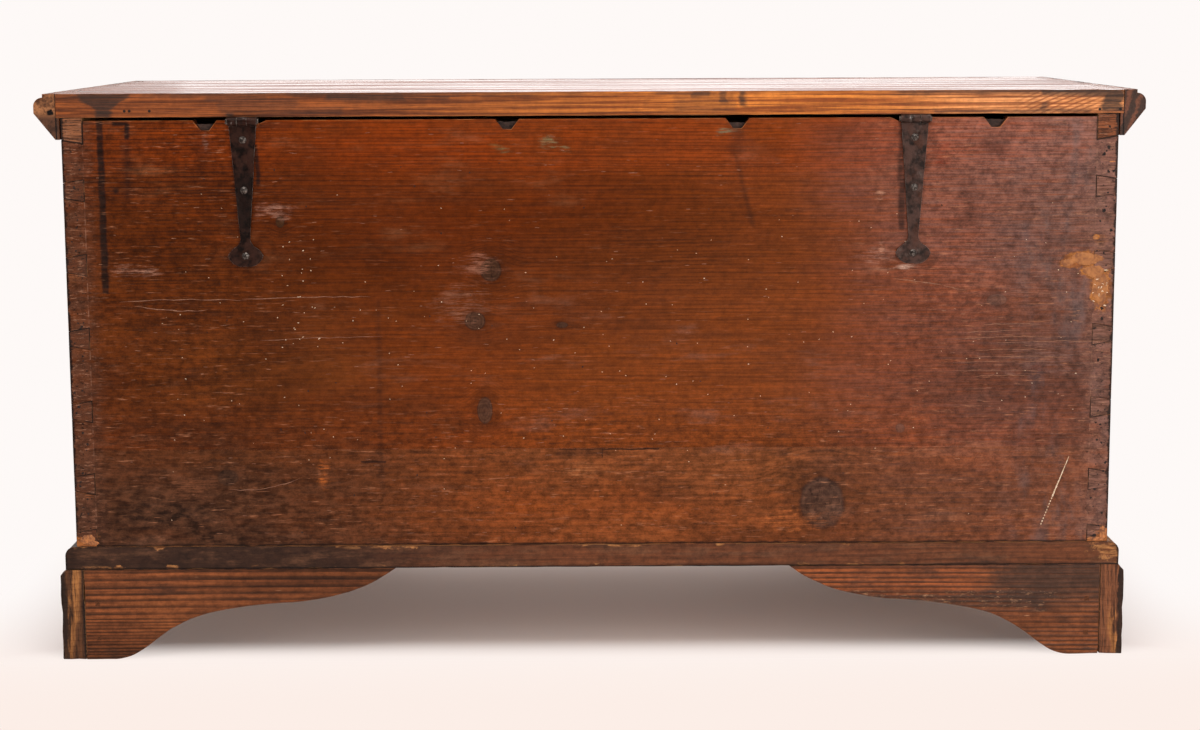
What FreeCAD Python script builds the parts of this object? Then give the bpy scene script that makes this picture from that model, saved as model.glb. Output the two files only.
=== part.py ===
"""Dovetailed pine blanket chest on scalloped bracket feet, with a strap hinged lid.

The front faces -Y and +Z is up. The origin is on the floor, under the middle of the whole chest.
Every size is a cell of the sheet "Sizes", in millimetres, and every piece is bound to those cells.
"""
import FreeCAD, Part
import os
from types import SimpleNamespace

import Sketcher
from FreeCAD import Placement, Rotation, Vector

# Driving sizes
SIZES = {
    # Case: four dovetailed walls, each of two boards joined edge to edge
    "case_width": "1200",
    "case_depth": "530",
    "case_height": "496.5",
    "side_wall": "24",
    "long_wall": "22",
    "pin_height": "25",
    "pin_flare": "4",
    "half_pin_low": "21",
    "half_pin_high": "29",
    "old_notch_width": "27",
    "old_notch_depth": "11.5",
    "right_notch_step": "43",
    "left_notch_step": "92",
    "hinge_recess": "4.5",
    "hinge_recess_slope": "10",
    # Bottom: two boards, moulded where they stand past the case
    "bottom_thick": "27",
    "bottom_reach": "14",
    "bottom_round": "11",
    "bottom_rear_width": "300",
    # Bracket feet and the glue blocks in their corners
    "foot_height": "108",
    "foot_reach": "21",
    "foot_wall": "28",
    "foot_bevel": "7",
    "back_bracket_wall": "24",
    "long_bracket": "392",
    "short_bracket": "215",
    "block_width": "30",
    "block_lift": "16",
    # Lid: two boards, with a rebated moulding on the ends and the front
    "lid_thick": "27",
    "lid_reach": "5",
    "lid_rear_width": "290",
    "lid_gap": "0.3",
    "mould_reach": "25",
    "mould_top": "15",
    "mould_step": "4",
    "mould_face": "8",
    "mould_drop": "52",
    "lip_flat": "5",
    "lip_gap": "1.4",
    # Wrought strap hinges
    "right_hinge_at": "394",
    "left_hinge_at": "368",
    "strap_thick": "3",
    "strap_width": "31",
    "strap_neck": "11",
    "neck_drop": "134",
    "fan_width": "40",
    "fan_shoulder": "19",
    "fan_round": "12",
    "leaf_gap": "0.6",
    "barrel_radius": "4.75",
    "barrel_length": "33.5",
    "middle_knuckle": "10.5",
    "knuckle_gap": "0.3",
    "pivot_radius": "2",
    "pivot_head_radius": "3.2",
    "pivot_head": "1.6",
    "running_fit": "0.06",
    # Slotted screws in the hinges
    "screw_radius": "2",
    "screw_length": "17",
    "screw_head_radius": "4.2",
    "screw_top_radius": "2.8",
    "screw_head": "2.2",
    "slot_width": "0.9",
    "slot_depth": "0.9",
    "first_screw": "21",
    "second_screw": "78",
    "first_leaf_screw": "42",
    # Cut nails, driven flush
    "nail_side": "3",
    "nail_tip": "1.5",
    "nail_length": "52",
    "nail_head_side": "5.5",
    "nail_head": "1.2",
    "drilled_fit": "0.05",
    "overrun": "2",
}

# Counts, and places given as shares of the sizes that they follow
PIN_COUNT = 5
END_TAIL_SHARE = 0.68
SEAM_IN_TAIL_SHARE = 0.45
BACK_SEAM_TAIL = 1
FRONT_SEAM_TAIL = 2
SIDE_SEAM_TAIL = 3
NOTCH_BETWEEN_HINGES_SHARES = (0.607, 0.264)
OLD_NOTCH_FLOOR_SHARE = 0.36
CURVE_SHARES = (0.25, 0.5, 0.75)
TOE_SHARE = 0.158
SCALLOP_SHARES = (
    ((0.209, 0.0), (0.245, 0.116), (0.286, 0.231)),
    ((0.383, 0.528), (0.523, 0.588), (0.689, 0.622)),
    ((0.816, 0.663), (0.908, 0.750), (1.0, 1.0)),
)
FAN_SHOULDER_SHARES = ((1.2, 0.50), (0.9, 0.55))
FAN_PULL_SHARES = (1.05, 1.33)
LONG_WALL_NAIL_SHARES = (-0.8, -0.4, 0.0, 0.4, 0.8)
SIDE_WALL_NAIL_SHARES = (0.25, 0.75)
LID_END_NAIL_SHARES = (0.12, 0.40, 0.70, 0.94)
LID_FRONT_NAIL_SHARES = (-0.9, -0.45, 0.0, 0.45, 0.9)
BRACKET_NAIL_SHARES = (0.24, 0.62)
SIDE_BRACKET_NAIL_SHARES = (0.38, 0.76)
NEAR_SHARE = 0.001
SHANK_SIDES = 8
HEAD_SIDES = 20
FULL_TURN = 360


class Size:
    """A length with its expression in the sheet's cells and its present value."""

    def __init__(self, text, value):
        self.text = text
        self.value = value

    def join(self, sign, other, value):
        text = other.text if isinstance(other, Size) else repr(other)
        return Size(f"({self.text} {sign} {text})", value)

    def __add__(self, other):
        return self.join("+", other, self.value + other.value)

    def __sub__(self, other):
        return self.join("-", other, self.value - other.value)

    def __mul__(self, share):
        return self.join("*", share, self.value * share)

    def __truediv__(self, share):
        return self.join("/", share, self.value / share)

    def __neg__(self):
        return Size(f"(-{self.text})", -self.value)


doc = FreeCAD.newDocument("blanket_chest")
sheet = doc.addObject("Spreadsheet::Sheet", "Sizes")
for row, (alias, number) in enumerate(SIZES.items(), start=1):
    sheet.set(f"A{row}", alias)
    sheet.set(f"B{row}", number)
    sheet.setAlias(f"B{row}", alias)
doc.recompute()
s = SimpleNamespace(**{alias: Size(f"Sizes.{alias}", float(sheet.get(alias))) for alias in SIZES})
ZERO = Size("0", 0.0)
nodes = {}


# Sketches and features
NORMAL_SIGN = {"XY_Plane": 1, "XZ_Plane": -1, "YZ_Plane": 1}


def arc_between(start, end, radius, turn):
    """The shorter arc from start to end: turn is 1 where the path bends left, -1 where it bends right."""
    chord = end - start
    left = Vector(-chord.y, chord.x, 0).normalize()
    rise = max(radius ** 2 - (chord.Length / 2) ** 2, 0) ** 0.5
    centre = start + chord / 2 + left * (turn * rise)
    first, last = (start, end) if turn > 0 else (end, start)
    angles = [(point - centre).getAngle(Vector(1, 0, 0)) for point in (first, last)]
    angles = [a if (p - centre).y >= 0 else -a for a, p in zip(angles, (first, last))]
    return Part.ArcOfCircle(Part.Circle(centre, Vector(0, 0, 1), radius), angles[0], angles[1])


def arc_through(start, middle, end):
    """The arc over three points, and its turn as arc_between has it."""
    turn = 1 if (middle - start).cross(end - middle).z > 0 else -1
    first, last = (start, end) if turn > 0 else (end, start)
    return Part.Arc(first, middle, last), turn


def curve_point(ends, share):
    """The point at a share of the way along a curve: its ends list an end, two control points, an end."""
    rest = 1 - share
    weights = (rest ** 3, 3 * rest ** 2 * share, 3 * rest * share ** 2, share ** 3)
    one, two, three, four = ([size * weight for size in point] for point, weight in zip(ends, weights))
    return tuple(a + b + c + d for a, b, c, d in zip(one, two, three, four))


def curves_to_arcs(outline):
    """The outline with each of its free curves drawn as two arcs over points of that curve."""
    corners = []
    for corner, after in zip(outline, outline[1:] + outline[:1]):
        if len(corner) > 2 and isinstance(corner[2], list):
            ends = [corner[:2], *corner[2], after[:2]]
            one, middle, two = (curve_point(ends, share) for share in CURVE_SHARES)
            corners += [(*corner[:2], one), (*middle, two)]
        else:
            corners.append(corner)
    return corners


def flat(point):
    return Vector(point[0].value, point[1].value, 0)


def draw(sketch, outline):
    """Draw one closed outline of corners (x, y) or (x, y, bend), where bend shapes the way to the next
    corner: an arc as (radius, turn), or a curve as a list of its two control points."""
    pieces = []
    ends = []
    outline = curves_to_arcs(outline)
    bends = [corner[2] if len(corner) > 2 else None for corner in outline]
    following = outline[1:] + outline[:1]
    for corner, after, bend in zip(outline, following, bends):
        start, end = flat(corner), flat(after)
        if bend is None:
            pieces.append(Part.LineSegment(start, end))
            ends.append((1, 2))
        elif isinstance(bend[1], Size):
            arc, turn = arc_through(start, flat(bend), end)
            pieces.append(arc)
            ends.append((1, 2) if turn > 0 else (2, 1))
        else:
            radius, turn = bend
            pieces.append(arc_between(start, end, radius.value, turn))
            ends.append((1, 2) if turn > 0 else (2, 1))
    first = sketch.GeometryCount
    sketch.addGeometry(pieces)
    count = len(pieces)
    bound = []
    for step, corner in enumerate(outline):
        bound.append(("DistanceX", first + step, ends[step][0], corner[0]))
        bound.append(("DistanceY", first + step, ends[step][0], corner[1]))
    held = sketch.ConstraintCount
    rules = [Sketcher.Constraint(kind, -1, 1, piece, end, size.value) for kind, piece, end, size in bound]
    radii = [(step, bend[0]) for step, bend in enumerate(bends) if bend and not isinstance(bend[1], Size)]
    rules += [Sketcher.Constraint("Radius", first + step, radius.value) for step, radius in radii]
    for step in range(count):
        after = (step + 1) % count
        rules.append(Sketcher.Constraint("Coincident", first + step, ends[step][1],
                                         first + after, ends[after][0]))
    sketch.addConstraint(rules)
    driving = [size for _, _, _, size in bound] + [radius for _, radius in radii]
    for offset, size in enumerate(driving):
        sketch.setExpression(f"Constraints[{held + offset}]", size.text)
    for step, bend in enumerate(bends):
        if bend and isinstance(bend[1], Size):
            hold_on(sketch, first + step, bend)


def hold_on(sketch, arc, point):
    """Bind an arc to a point that it passes over."""
    mark = sketch.addGeometry(Part.Point(flat(point)), True)
    held = sketch.ConstraintCount
    sketch.addConstraint([
        Sketcher.Constraint("DistanceX", -1, 1, mark, 1, point[0].value),
        Sketcher.Constraint("DistanceY", -1, 1, mark, 1, point[1].value),
        Sketcher.Constraint("PointOnObject", mark, 1, arc),
    ])
    for offset, size in enumerate(point):
        sketch.setExpression(f"Constraints[{held + offset}]", size.text)


def draw_circle(sketch, centre, radius):
    first = sketch.GeometryCount
    sketch.addGeometry(Part.Circle(flat(centre), Vector(0, 0, 1), radius.value))
    held = sketch.ConstraintCount
    sketch.addConstraint([
        Sketcher.Constraint("DistanceX", -1, 1, first, 3, centre[0].value),
        Sketcher.Constraint("DistanceY", -1, 1, first, 3, centre[1].value),
        Sketcher.Constraint("Radius", first, radius.value),
    ])
    for offset, size in enumerate((centre[0], centre[1], radius)):
        sketch.setExpression(f"Constraints[{held + offset}]", size.text)


def sketch_on(body, role, level):
    """An empty sketch on one of the body's own planes, moved to a level along that plane's axis."""
    sketch = body.newObject("Sketcher::SketchObject", body.Name + "_sketch")
    plane = next(one for one in body.Origin.OriginFeatures if one.Role == role)
    sketch.AttachmentSupport = [(plane, "")]
    sketch.MapMode = "FlatFace"
    offset = level * NORMAL_SIGN[role]
    sketch.AttachmentOffset = Placement(Vector(0, 0, offset.value), Rotation())
    sketch.setExpression("AttachmentOffset.Base.z", offset.text)
    return sketch


def feature(kind, body, sketch, depth, backwards):
    made = body.newObject(kind, body.Name + "_" + kind.split("::")[1].lower())
    made.Profile = sketch
    made.Length = depth.value
    made.setExpression("Length", depth.text)
    made.Reversed = backwards
    sketch.Visibility = False
    return made


def pad(body, role, level, depth, towards, outlines=(), circles=()):
    """Add the outlines, drawn at a level, drawn out by depth along + (1) or - (-1) of the plane's axis."""
    sketch = sketch_on(body, role, level)
    for outline in outlines:
        draw(sketch, outline)
    for centre, radius in circles:
        draw_circle(sketch, centre, radius)
    return feature("PartDesign::Pad", body, sketch, depth, towards != NORMAL_SIGN[role])


def pocket(body, role, level, depth, towards, outlines=(), circles=()):
    """Take the outlines away, in the same way as pad adds them, and make sure that something went."""
    doc.recompute()
    before = body.Shape.Volume
    sketch = sketch_on(body, role, level)
    for outline in outlines:
        draw(sketch, outline)
    for centre, radius in circles:
        draw_circle(sketch, centre, radius)
    made = feature("PartDesign::Pocket", body, sketch, depth, towards == NORMAL_SIGN[role])
    doc.recompute()
    if not body.Shape.Volume < before:
        raise RuntimeError(f"{body.Label}: the pocket cuts nothing")
    return made


def edges_at(body, test):
    """Names of the straight edges whose middle passes the test."""
    doc.recompute()
    found = []
    for number, edge in enumerate(body.Shape.Edges, start=1):
        if isinstance(edge.Curve, Part.Line) and test(edge.CenterOfMass):
            found.append(f"Edge{number}")
    return found


def dress(kind, body, names, prop, size):
    base = body.Tip
    made = body.newObject(kind, body.Name + "_" + kind.split("::")[1].lower())
    made.Base = (base, names)
    setattr(made, prop, size.value)
    made.setExpression(prop, size.text)
    return made


def same(one, other):
    return abs(one - other) < s.overrun.value * NEAR_SHARE


def new_body(label):
    body = doc.addObject("PartDesign::Body", label)
    body.Label = label
    nodes[label] = body
    return body


def board(label, low, high):
    """A plain sawn board between two corners."""
    made = doc.addObject("Part::Box", label)
    made.Label = label
    for prop, first, last in zip(("Length", "Width", "Height"), low, high):
        made.setExpression(prop, (last - first).text)
    for axis, first in zip("xyz", low):
        made.setExpression(f"Placement.Base.{axis}", first.text)
    nodes[label] = made
    return made


# Levels and planes that the pieces share
half = s.case_width / 2
barrel_reach = s.knuckle_gap + s.barrel_radius * 2
back_y = (s.case_depth + s.lid_reach + s.mould_reach - barrel_reach) / 2
front_y = back_y - s.case_depth
case_floor = s.foot_height + s.bottom_thick
case_top = case_floor + s.case_height
lid_under = case_top + s.lid_gap
lid_top = lid_under + s.lid_thick
inner_end = half - s.side_wall
pivot_y = back_y + s.knuckle_gap + s.barrel_radius
pivot_z = lid_under - s.barrel_radius

# Dovetails: the pins stand on the side walls, and the tails are cut on the front and back walls
all_pins = s.pin_height * PIN_COUNT
tail = (s.case_height - s.half_pin_low - s.half_pin_high - all_pins) / (PIN_COUNT - 1 + 2 * END_TAIL_SHARE)
first_pin = case_floor + s.half_pin_low + tail * END_TAIL_SHARE
pins = [first_pin + (s.pin_height + tail) * step for step in range(PIN_COUNT)]


def seam(tail_number):
    """Height of an edge joint, inside the tail above the pin of that number, counted from 1."""
    return pins[tail_number - 1] + s.pin_height + tail * SEAM_IN_TAIL_SHARE


def end_steps(low, high, side):
    """Corners of a wall's dovetailed end, from low to high, on the +X (1) or -X (-1) side."""
    inner, outer = inner_end * side, half * side
    corners = []
    if low is case_floor:
        corners += [(inner, low), (inner, low + s.half_pin_low), (outer, low + s.half_pin_low - s.pin_flare)]
    else:
        corners.append((outer, low))
    for pin in pins:
        if low.value < pin.value < high.value:
            corners += [(outer, pin + s.pin_flare), (inner, pin),
                        (inner, pin + s.pin_height), (outer, pin + s.pin_height - s.pin_flare)]
    if high.value > pins[-1].value:
        top_pin = case_top - s.half_pin_high
        corners += [(outer, top_pin + s.pin_flare), (inner, top_pin), (inner, high)]
    else:
        corners.append((outer, high))
    return corners


def tail_wall(label, outer_y, inwards, low, high, top_edge=()):
    """One board of the front or back wall, with its tails and the cuts along its top edge."""
    outline = end_steps(low, high, 1) + list(top_edge) + end_steps(low, high, -1)[::-1]
    pad(new_body(label), "XZ_Plane", outer_y, s.long_wall, inwards, [outline])


def old_notch(middle, top):
    """A shallow cut left in the top edge by an earlier fitting, listed from +X to -X."""
    floor = s.old_notch_width * (OLD_NOTCH_FLOOR_SHARE / 2)
    low = top - s.old_notch_depth
    return [(middle + s.old_notch_width / 2, top), (middle + floor, low),
            (middle - floor, low), (middle - s.old_notch_width / 2, top)]


def hinge_recess(middle, top, side):
    """Room under a hinge leaf: square on its outer side, sloped on the side of the chest's middle."""
    reach = s.barrel_length / 2 + s.knuckle_gap
    low = top - s.hinge_recess
    corners = [(middle + reach * side, top), (middle + reach * side, low), (middle - reach * side, low),
               (middle - (reach + s.hinge_recess_slope) * side, top)]
    return corners if side > 0 else corners[::-1]


back_top = lid_under - s.strap_thick - s.leaf_gap
hinge_span = s.right_hinge_at + s.left_hinge_at
back_edge = old_notch(s.right_hinge_at + s.right_notch_step, back_top)
back_edge += hinge_recess(s.right_hinge_at, back_top, 1)
for share in NOTCH_BETWEEN_HINGES_SHARES:
    back_edge += old_notch(hinge_span * share - s.left_hinge_at, back_top)
back_edge += hinge_recess(-s.left_hinge_at, back_top, -1)
back_edge += old_notch(-s.left_hinge_at - s.left_notch_step, back_top)
back_seam, front_seam, side_seam = seam(BACK_SEAM_TAIL), seam(FRONT_SEAM_TAIL), seam(SIDE_SEAM_TAIL)
tail_wall("back_board_upper", back_y, -1, back_seam, back_top, back_edge)
tail_wall("back_board_lower", back_y, -1, case_floor, back_seam)
tail_wall("front_board_upper", front_y, 1, front_seam, case_top)
tail_wall("front_board_lower", front_y, 1, case_floor, front_seam)


def pin_outlines(low, high, side):
    """The dovetail pins of one side board, seen from the end: narrow outside and wide inside."""
    inner, outer = inner_end * side, half * side
    outlines = []
    if low is case_floor:
        top = low + s.half_pin_low
        outlines.append([(inner, low), (outer, low), (outer, top - s.pin_flare), (inner, top)])
    for pin in pins:
        if low.value < pin.value < high.value:
            top = pin + s.pin_height
            outlines.append([(inner, pin), (outer, pin + s.pin_flare),
                             (outer, top - s.pin_flare), (inner, top)])
    if high is case_top:
        under = high - s.half_pin_high
        outlines.append([(inner, under), (outer, under + s.pin_flare), (outer, high), (inner, high)])
    return outlines


for name, side in (("right", 1), ("left", -1)):
    for part, low, high in (("upper", side_seam, case_top), ("lower", case_floor, side_seam)):
        body = new_body(f"{name}_side_{part}")
        rear, fore = back_y - s.long_wall, front_y + s.long_wall
        face = [(fore, low), (rear, low), (rear, high), (fore, high)]
        pad(body, "YZ_Plane", inner_end * side, s.side_wall, side, [face])
        pad(body, "XZ_Plane", rear, s.long_wall, 1, pin_outlines(low, high, side))
        pad(body, "XZ_Plane", fore, s.long_wall, -1, pin_outlines(low, high, side))

# Bottom boards, rounded along the edges that stand past the case
bottom_end = half + s.bottom_reach
bottom_front = front_y - s.bottom_reach
bottom_seam = back_y - s.bottom_rear_width


def moulded(middle):
    past_case = same(abs(middle.x), bottom_end.value) or same(middle.y, bottom_front.value)
    return same(middle.z, case_floor.value) and past_case


for name, rear, fore in (("rear", back_y, bottom_seam), ("front", bottom_seam, bottom_front)):
    body = new_body(f"bottom_board_{name}")
    plan = [(bottom_end, rear), (-bottom_end, rear), (-bottom_end, fore), (bottom_end, fore)]
    pad(body, "XY_Plane", s.foot_height, s.bottom_thick, 1, [plan])
    dress("PartDesign::Fillet", body, edges_at(body, moulded), "Radius", s.bottom_round)

# Bracket feet: the front corners are mitred, and the back brackets butt between the side ones
foot_end = half + s.foot_reach
foot_front = front_y - s.foot_reach


def bracket_outline(outer, inner, reach, way):
    """A bracket from the foot's outer face, where reach starts, to its tip; way is the tip's direction."""
    def at(share_along, share_up):
        return (outer + reach * (share_along * way), s.foot_height * share_up)

    outline = [(inner, ZERO)]
    start = at(TOE_SHARE, 0.0)
    for first, second, end in SCALLOP_SHARES:
        outline.append((*start, [at(*first), at(*second)]))
        start = at(*end)
    return outline + [start, (inner, s.foot_height)]


def bevel_top(body, test):
    def top_edge(middle):
        return same(middle.z, s.foot_height.value) and test(middle)

    dress("PartDesign::Chamfer", body, edges_at(body, top_edge), "Size", s.foot_bevel)


def mitre(body, side, keep_side_piece):
    """Cut a front corner at 45 degrees, keeping the side bracket's half or the front bracket's half."""
    over = s.foot_wall + s.overrun
    corner = (foot_end * side, foot_front)
    inside = (corner[0] - over * side, corner[1] + over)
    past = (corner[0] + s.overrun * side, corner[1] - s.overrun)
    square = (inside[0], past[1]) if keep_side_piece else (past[0], inside[1])
    pocket(body, "XY_Plane", -s.overrun, s.foot_height + s.overrun * 2, 1, [[inside, past, square]])


for name, side in (("right", 1), ("left", -1)):
    outer, inner = foot_end * side, (foot_end - s.foot_wall) * side
    back_piece = new_body(f"back_{name}_bracket")
    outline = bracket_outline(outer, inner, s.long_bracket, -side)
    pad(back_piece, "XZ_Plane", back_y, s.back_bracket_wall, -1, [outline])

    rear_piece = new_body(f"{name}_rear_bracket")
    outline = bracket_outline(back_y, back_y, s.short_bracket, -1)
    pad(rear_piece, "YZ_Plane", inner, s.foot_wall, side, [outline])
    bevel_top(rear_piece, lambda middle: same(abs(middle.x), foot_end.value))

    side_piece = new_body(f"{name}_front_bracket")
    outline = bracket_outline(foot_front, foot_front, s.short_bracket, 1)
    pad(side_piece, "YZ_Plane", inner, s.foot_wall, side, [outline])
    bevel_top(side_piece, lambda middle: same(abs(middle.x), foot_end.value))
    mitre(side_piece, side, True)

    front_piece = new_body(f"front_{name}_bracket")
    outline = bracket_outline(outer, outer, s.long_bracket, -side)
    pad(front_piece, "XZ_Plane", foot_front, s.foot_wall, 1, [outline])
    bevel_top(front_piece, lambda middle: same(middle.y, foot_front.value))
    mitre(front_piece, side, False)

    near, far = inner, inner - s.block_width * side
    low_x, high_x = (far, near) if side > 0 else (near, far)
    rear_face = back_y - s.back_bracket_wall
    board(f"back_{name}_block", (low_x, rear_face - s.block_width, s.block_lift),
          (high_x, rear_face, s.foot_height))
    fore_face = foot_front + s.foot_wall
    board(f"front_{name}_block", (low_x, fore_face, s.block_lift),
          (high_x, fore_face + s.block_width, s.foot_height))

# Lid boards and the moulding round three of their edges
lid_end = half + s.lid_reach
lid_front = front_y - s.lid_reach
lid_seam = back_y - s.lid_rear_width
board("lid_board_rear", (-lid_end, lid_seam, lid_under), (lid_end, back_y, lid_top))
board("lid_board_front", (-lid_end, lid_front, lid_under), (lid_end, lid_seam, lid_top))
rebate = s.lid_reach - s.lip_gap


def moulding_outline(edge, way):
    """Section of the lid moulding: a flat top, a step and a quarter round over a long bevel.

    The lip below the lid closes over the case, and the lid's edge sits in the rebate above it."""
    ovolo = s.mould_reach - s.mould_top
    step_low = lid_top - s.mould_step
    face_low = step_low - ovolo - s.mould_face
    lip_low = lid_top - s.mould_drop
    return [(edge, lid_top), (edge + s.mould_top * way, lid_top),
            (edge + s.mould_top * way, step_low, (ovolo, -way)),
            (edge + s.mould_reach * way, step_low - ovolo), (edge + s.mould_reach * way, face_low),
            (edge + (s.lip_flat - rebate) * way, lip_low), (edge - rebate * way, lip_low),
            (edge - rebate * way, lid_under), (edge, lid_under)]


def lid_mitre(body, side, keep_side_piece):
    over = rebate + s.overrun
    past = s.mould_reach + s.overrun
    inside = ((lid_end - over) * side, lid_front + over)
    outside = ((lid_end + past) * side, lid_front - past)
    square = (inside[0], outside[1]) if keep_side_piece else (outside[0], inside[1])
    low = lid_top - s.mould_drop - s.overrun
    pocket(body, "XY_Plane", low, s.mould_drop + s.overrun * 2, 1, [[inside, outside, square]])


for name, side in (("right", 1), ("left", -1)):
    body = new_body(f"lid_moulding_{name}")
    pad(body, "XZ_Plane", back_y, s.case_depth + s.lid_reach + s.mould_reach, -1,
        [moulding_outline(lid_end * side, side)])
    lid_mitre(body, side, True)
front_moulding = new_body("lid_moulding_front")
pad(front_moulding, "YZ_Plane", -(lid_end + s.mould_reach), (lid_end + s.mould_reach) * 2, 1,
    [moulding_outline(lid_front, -1)])
lid_mitre(front_moulding, 1, False)
lid_mitre(front_moulding, -1, False)


# Strap hinges: the strap carries the middle knuckle, and the leaf under the lid the outer two
def tapered_plate(at, root, start_width, neck):
    """Sides and fan shaped end of a plate: from its root on one side, round the fan, to the other side."""
    fan = neck + s.fan_shoulder
    (wide_one, down_one), (wide_two, down_two) = FAN_SHOULDER_SHARES
    pull_wide, pull_down = FAN_PULL_SHARES

    def shoulder(side):
        return [at(s.strap_neck * (wide_one * side / 2), neck + s.fan_shoulder * down_one),
                at(s.fan_width * (wide_two * side / 2), neck + s.fan_shoulder * down_two)]

    round_end = [at(s.fan_width * (pull_wide * side / 2), fan + s.fan_round * pull_down) for side in (1, -1)]
    return [at(start_width / 2, root),
            (*at(s.strap_neck / 2, neck), shoulder(1)),
            (*at(s.fan_width / 2, fan), round_end),
            (*at(-s.fan_width / 2, fan), shoulder(-1)[::-1]),
            at(-s.strap_neck / 2, neck), at(-start_width / 2, root)]


def pivot_circle(radius):
    return [((pivot_y, pivot_z), radius)]


bore = s.pivot_radius + s.running_fit
outer_knuckle = (s.barrel_length - s.middle_knuckle) / 2 - s.knuckle_gap
for name, middle in (("right", s.right_hinge_at), ("left", -s.left_hinge_at)):
    strap = new_body(f"{name}_hinge_strap")
    tongue = s.middle_knuckle / 2
    root = s.barrel_radius + s.knuckle_gap
    sides = tapered_plate(lambda x, down: (middle + x, pivot_z - down), root, s.strap_width, s.neck_drop)
    outline = [(middle - tongue, pivot_z - root), (middle - tongue, pivot_z),
               (middle + tongue, pivot_z), (middle + tongue, pivot_z - root)] + sides
    pad(strap, "XZ_Plane", back_y, s.strap_thick, 1, [outline])
    pad(strap, "YZ_Plane", middle - tongue, s.middle_knuckle, 1, circles=pivot_circle(s.barrel_radius))
    pocket(strap, "YZ_Plane", middle - tongue - s.overrun, s.middle_knuckle + s.overrun * 2, 1,
           circles=pivot_circle(bore))

    leaf = new_body(f"{name}_hinge_leaf")
    gap = tongue + s.knuckle_gap
    end = s.barrel_length / 2
    sides = tapered_plate(lambda x, along: (middle + x, back_y - along),
                          ZERO, s.barrel_length, s.neck_drop - root)
    outline = [(middle - end, pivot_y), (middle - gap, pivot_y), (middle - gap, back_y),
               (middle + gap, back_y), (middle + gap, pivot_y), (middle + end, pivot_y)] + sides
    pad(leaf, "XY_Plane", lid_under - s.strap_thick, s.strap_thick, 1, [outline])
    for start in (middle - end, middle + gap):
        pad(leaf, "YZ_Plane", start, outer_knuckle, 1, circles=pivot_circle(s.barrel_radius))
    pocket(leaf, "YZ_Plane", middle - end - s.overrun, s.barrel_length + s.overrun * 2, 1,
           circles=pivot_circle(bore))

    pivot = new_body(f"{name}_hinge_pin")
    head_at = end + s.knuckle_gap
    pad(pivot, "YZ_Plane", middle - head_at, head_at * 2, 1, circles=pivot_circle(s.pivot_radius))
    pad(pivot, "YZ_Plane", middle + head_at, s.pivot_head, 1, circles=pivot_circle(s.pivot_head_radius))
    pad(pivot, "YZ_Plane", middle - head_at, s.pivot_head, -1, circles=pivot_circle(s.pivot_head_radius))

# Fasteners: each is made along -Z from its seat at the origin, then turned into place
holes = {}


def even_corners(radius, sides, height=0.0):
    """The corners of an even outline round the Z axis, with the first one again at the end."""
    turn = Rotation(Vector(0, 0, 1), FULL_TURN / sides)
    corners = [Vector(radius, 0, height)]
    for _ in range(sides):
        corners.append(turn.multVec(corners[-1]))
    corners[-1] = corners[0]
    return corners


def flat_face(corners):
    return Part.Face(Part.makePolygon(corners))


def screw_shape():
    """A raised, slotted head on a plain shank; the head's many small sides look round."""
    head, radius = s.screw_head.value, s.screw_head_radius.value
    seat = even_corners(radius, HEAD_SIDES)
    top = even_corners(s.screw_top_radius.value, HEAD_SIDES, head)
    faces = [flat_face(seat), flat_face(top)]
    for low, next_low, next_high, high in zip(seat, seat[1:], top[1:], top):
        faces.append(flat_face([low, next_low, next_high, high, low]))
    raised = Part.Solid(Part.makeShell(faces))
    slot = Part.makeBox(radius * 2, s.slot_width.value, s.slot_depth.value,
                        Vector(-radius, -s.slot_width.value / 2, head - s.slot_depth.value))
    return raised.cut(slot).fuse(screw_shank()).removeSplitter()


def screw_shank(fit=0.0):
    """The part of the screw in the wood, or its hole, with few sides because the head hides it."""
    radius, length = s.screw_radius.value + fit, s.screw_length.value + fit
    return flat_face(even_corners(radius, SHANK_SIDES)).extrude(Vector(0, 0, -length))


def nail_shape(fit=0.0, above=0.0):
    """A cut nail: a square head, set flush, on a shank that tapers to a blunt end.

    For its hole, it is wider and longer by the fit, and its head goes on above the board."""
    head, length = s.nail_head.value, s.nail_length.value + fit
    wide, side, tip = (size.value + fit * 2 for size in (s.nail_head_side, s.nail_side, s.nail_tip))
    cap = Part.makeBox(wide, wide, head + above, Vector(-wide / 2, -wide / 2, -head))
    shank = Part.makeWedge(-side / 2, 0, -side / 2, -tip / 2, -tip / 2,
                           side / 2, length, side / 2, tip / 2, tip / 2)
    shank.rotate(Vector(), Vector(1, 0, 0), -FULL_TURN / 4)
    return cap.fuse(shank).removeSplitter()


def nail_hole():
    return nail_shape(s.drilled_fit.value, s.overrun.value)


def seated(shape, place, outward):
    """A copy of the shape whose seat is at the place and whose head points outward."""
    copy = shape.copy()
    point = Vector(*(size.value for size in place))
    copy.Placement = Placement(point, Rotation(Vector(0, 0, 1), outward))
    return copy


def fasten(label, shape, hole, places):
    """One node of like fasteners; each place lists the boards that its hole goes into."""
    made = doc.addObject("Part::Feature", label)
    made.Label = label
    made.Shape = Part.makeCompound([seated(shape, place, outward) for place, outward, _ in places])
    nodes[label] = made
    for place, outward, boards in places:
        for name in boards:
            holes.setdefault(name, []).append(seated(hole, place, outward))


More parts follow.
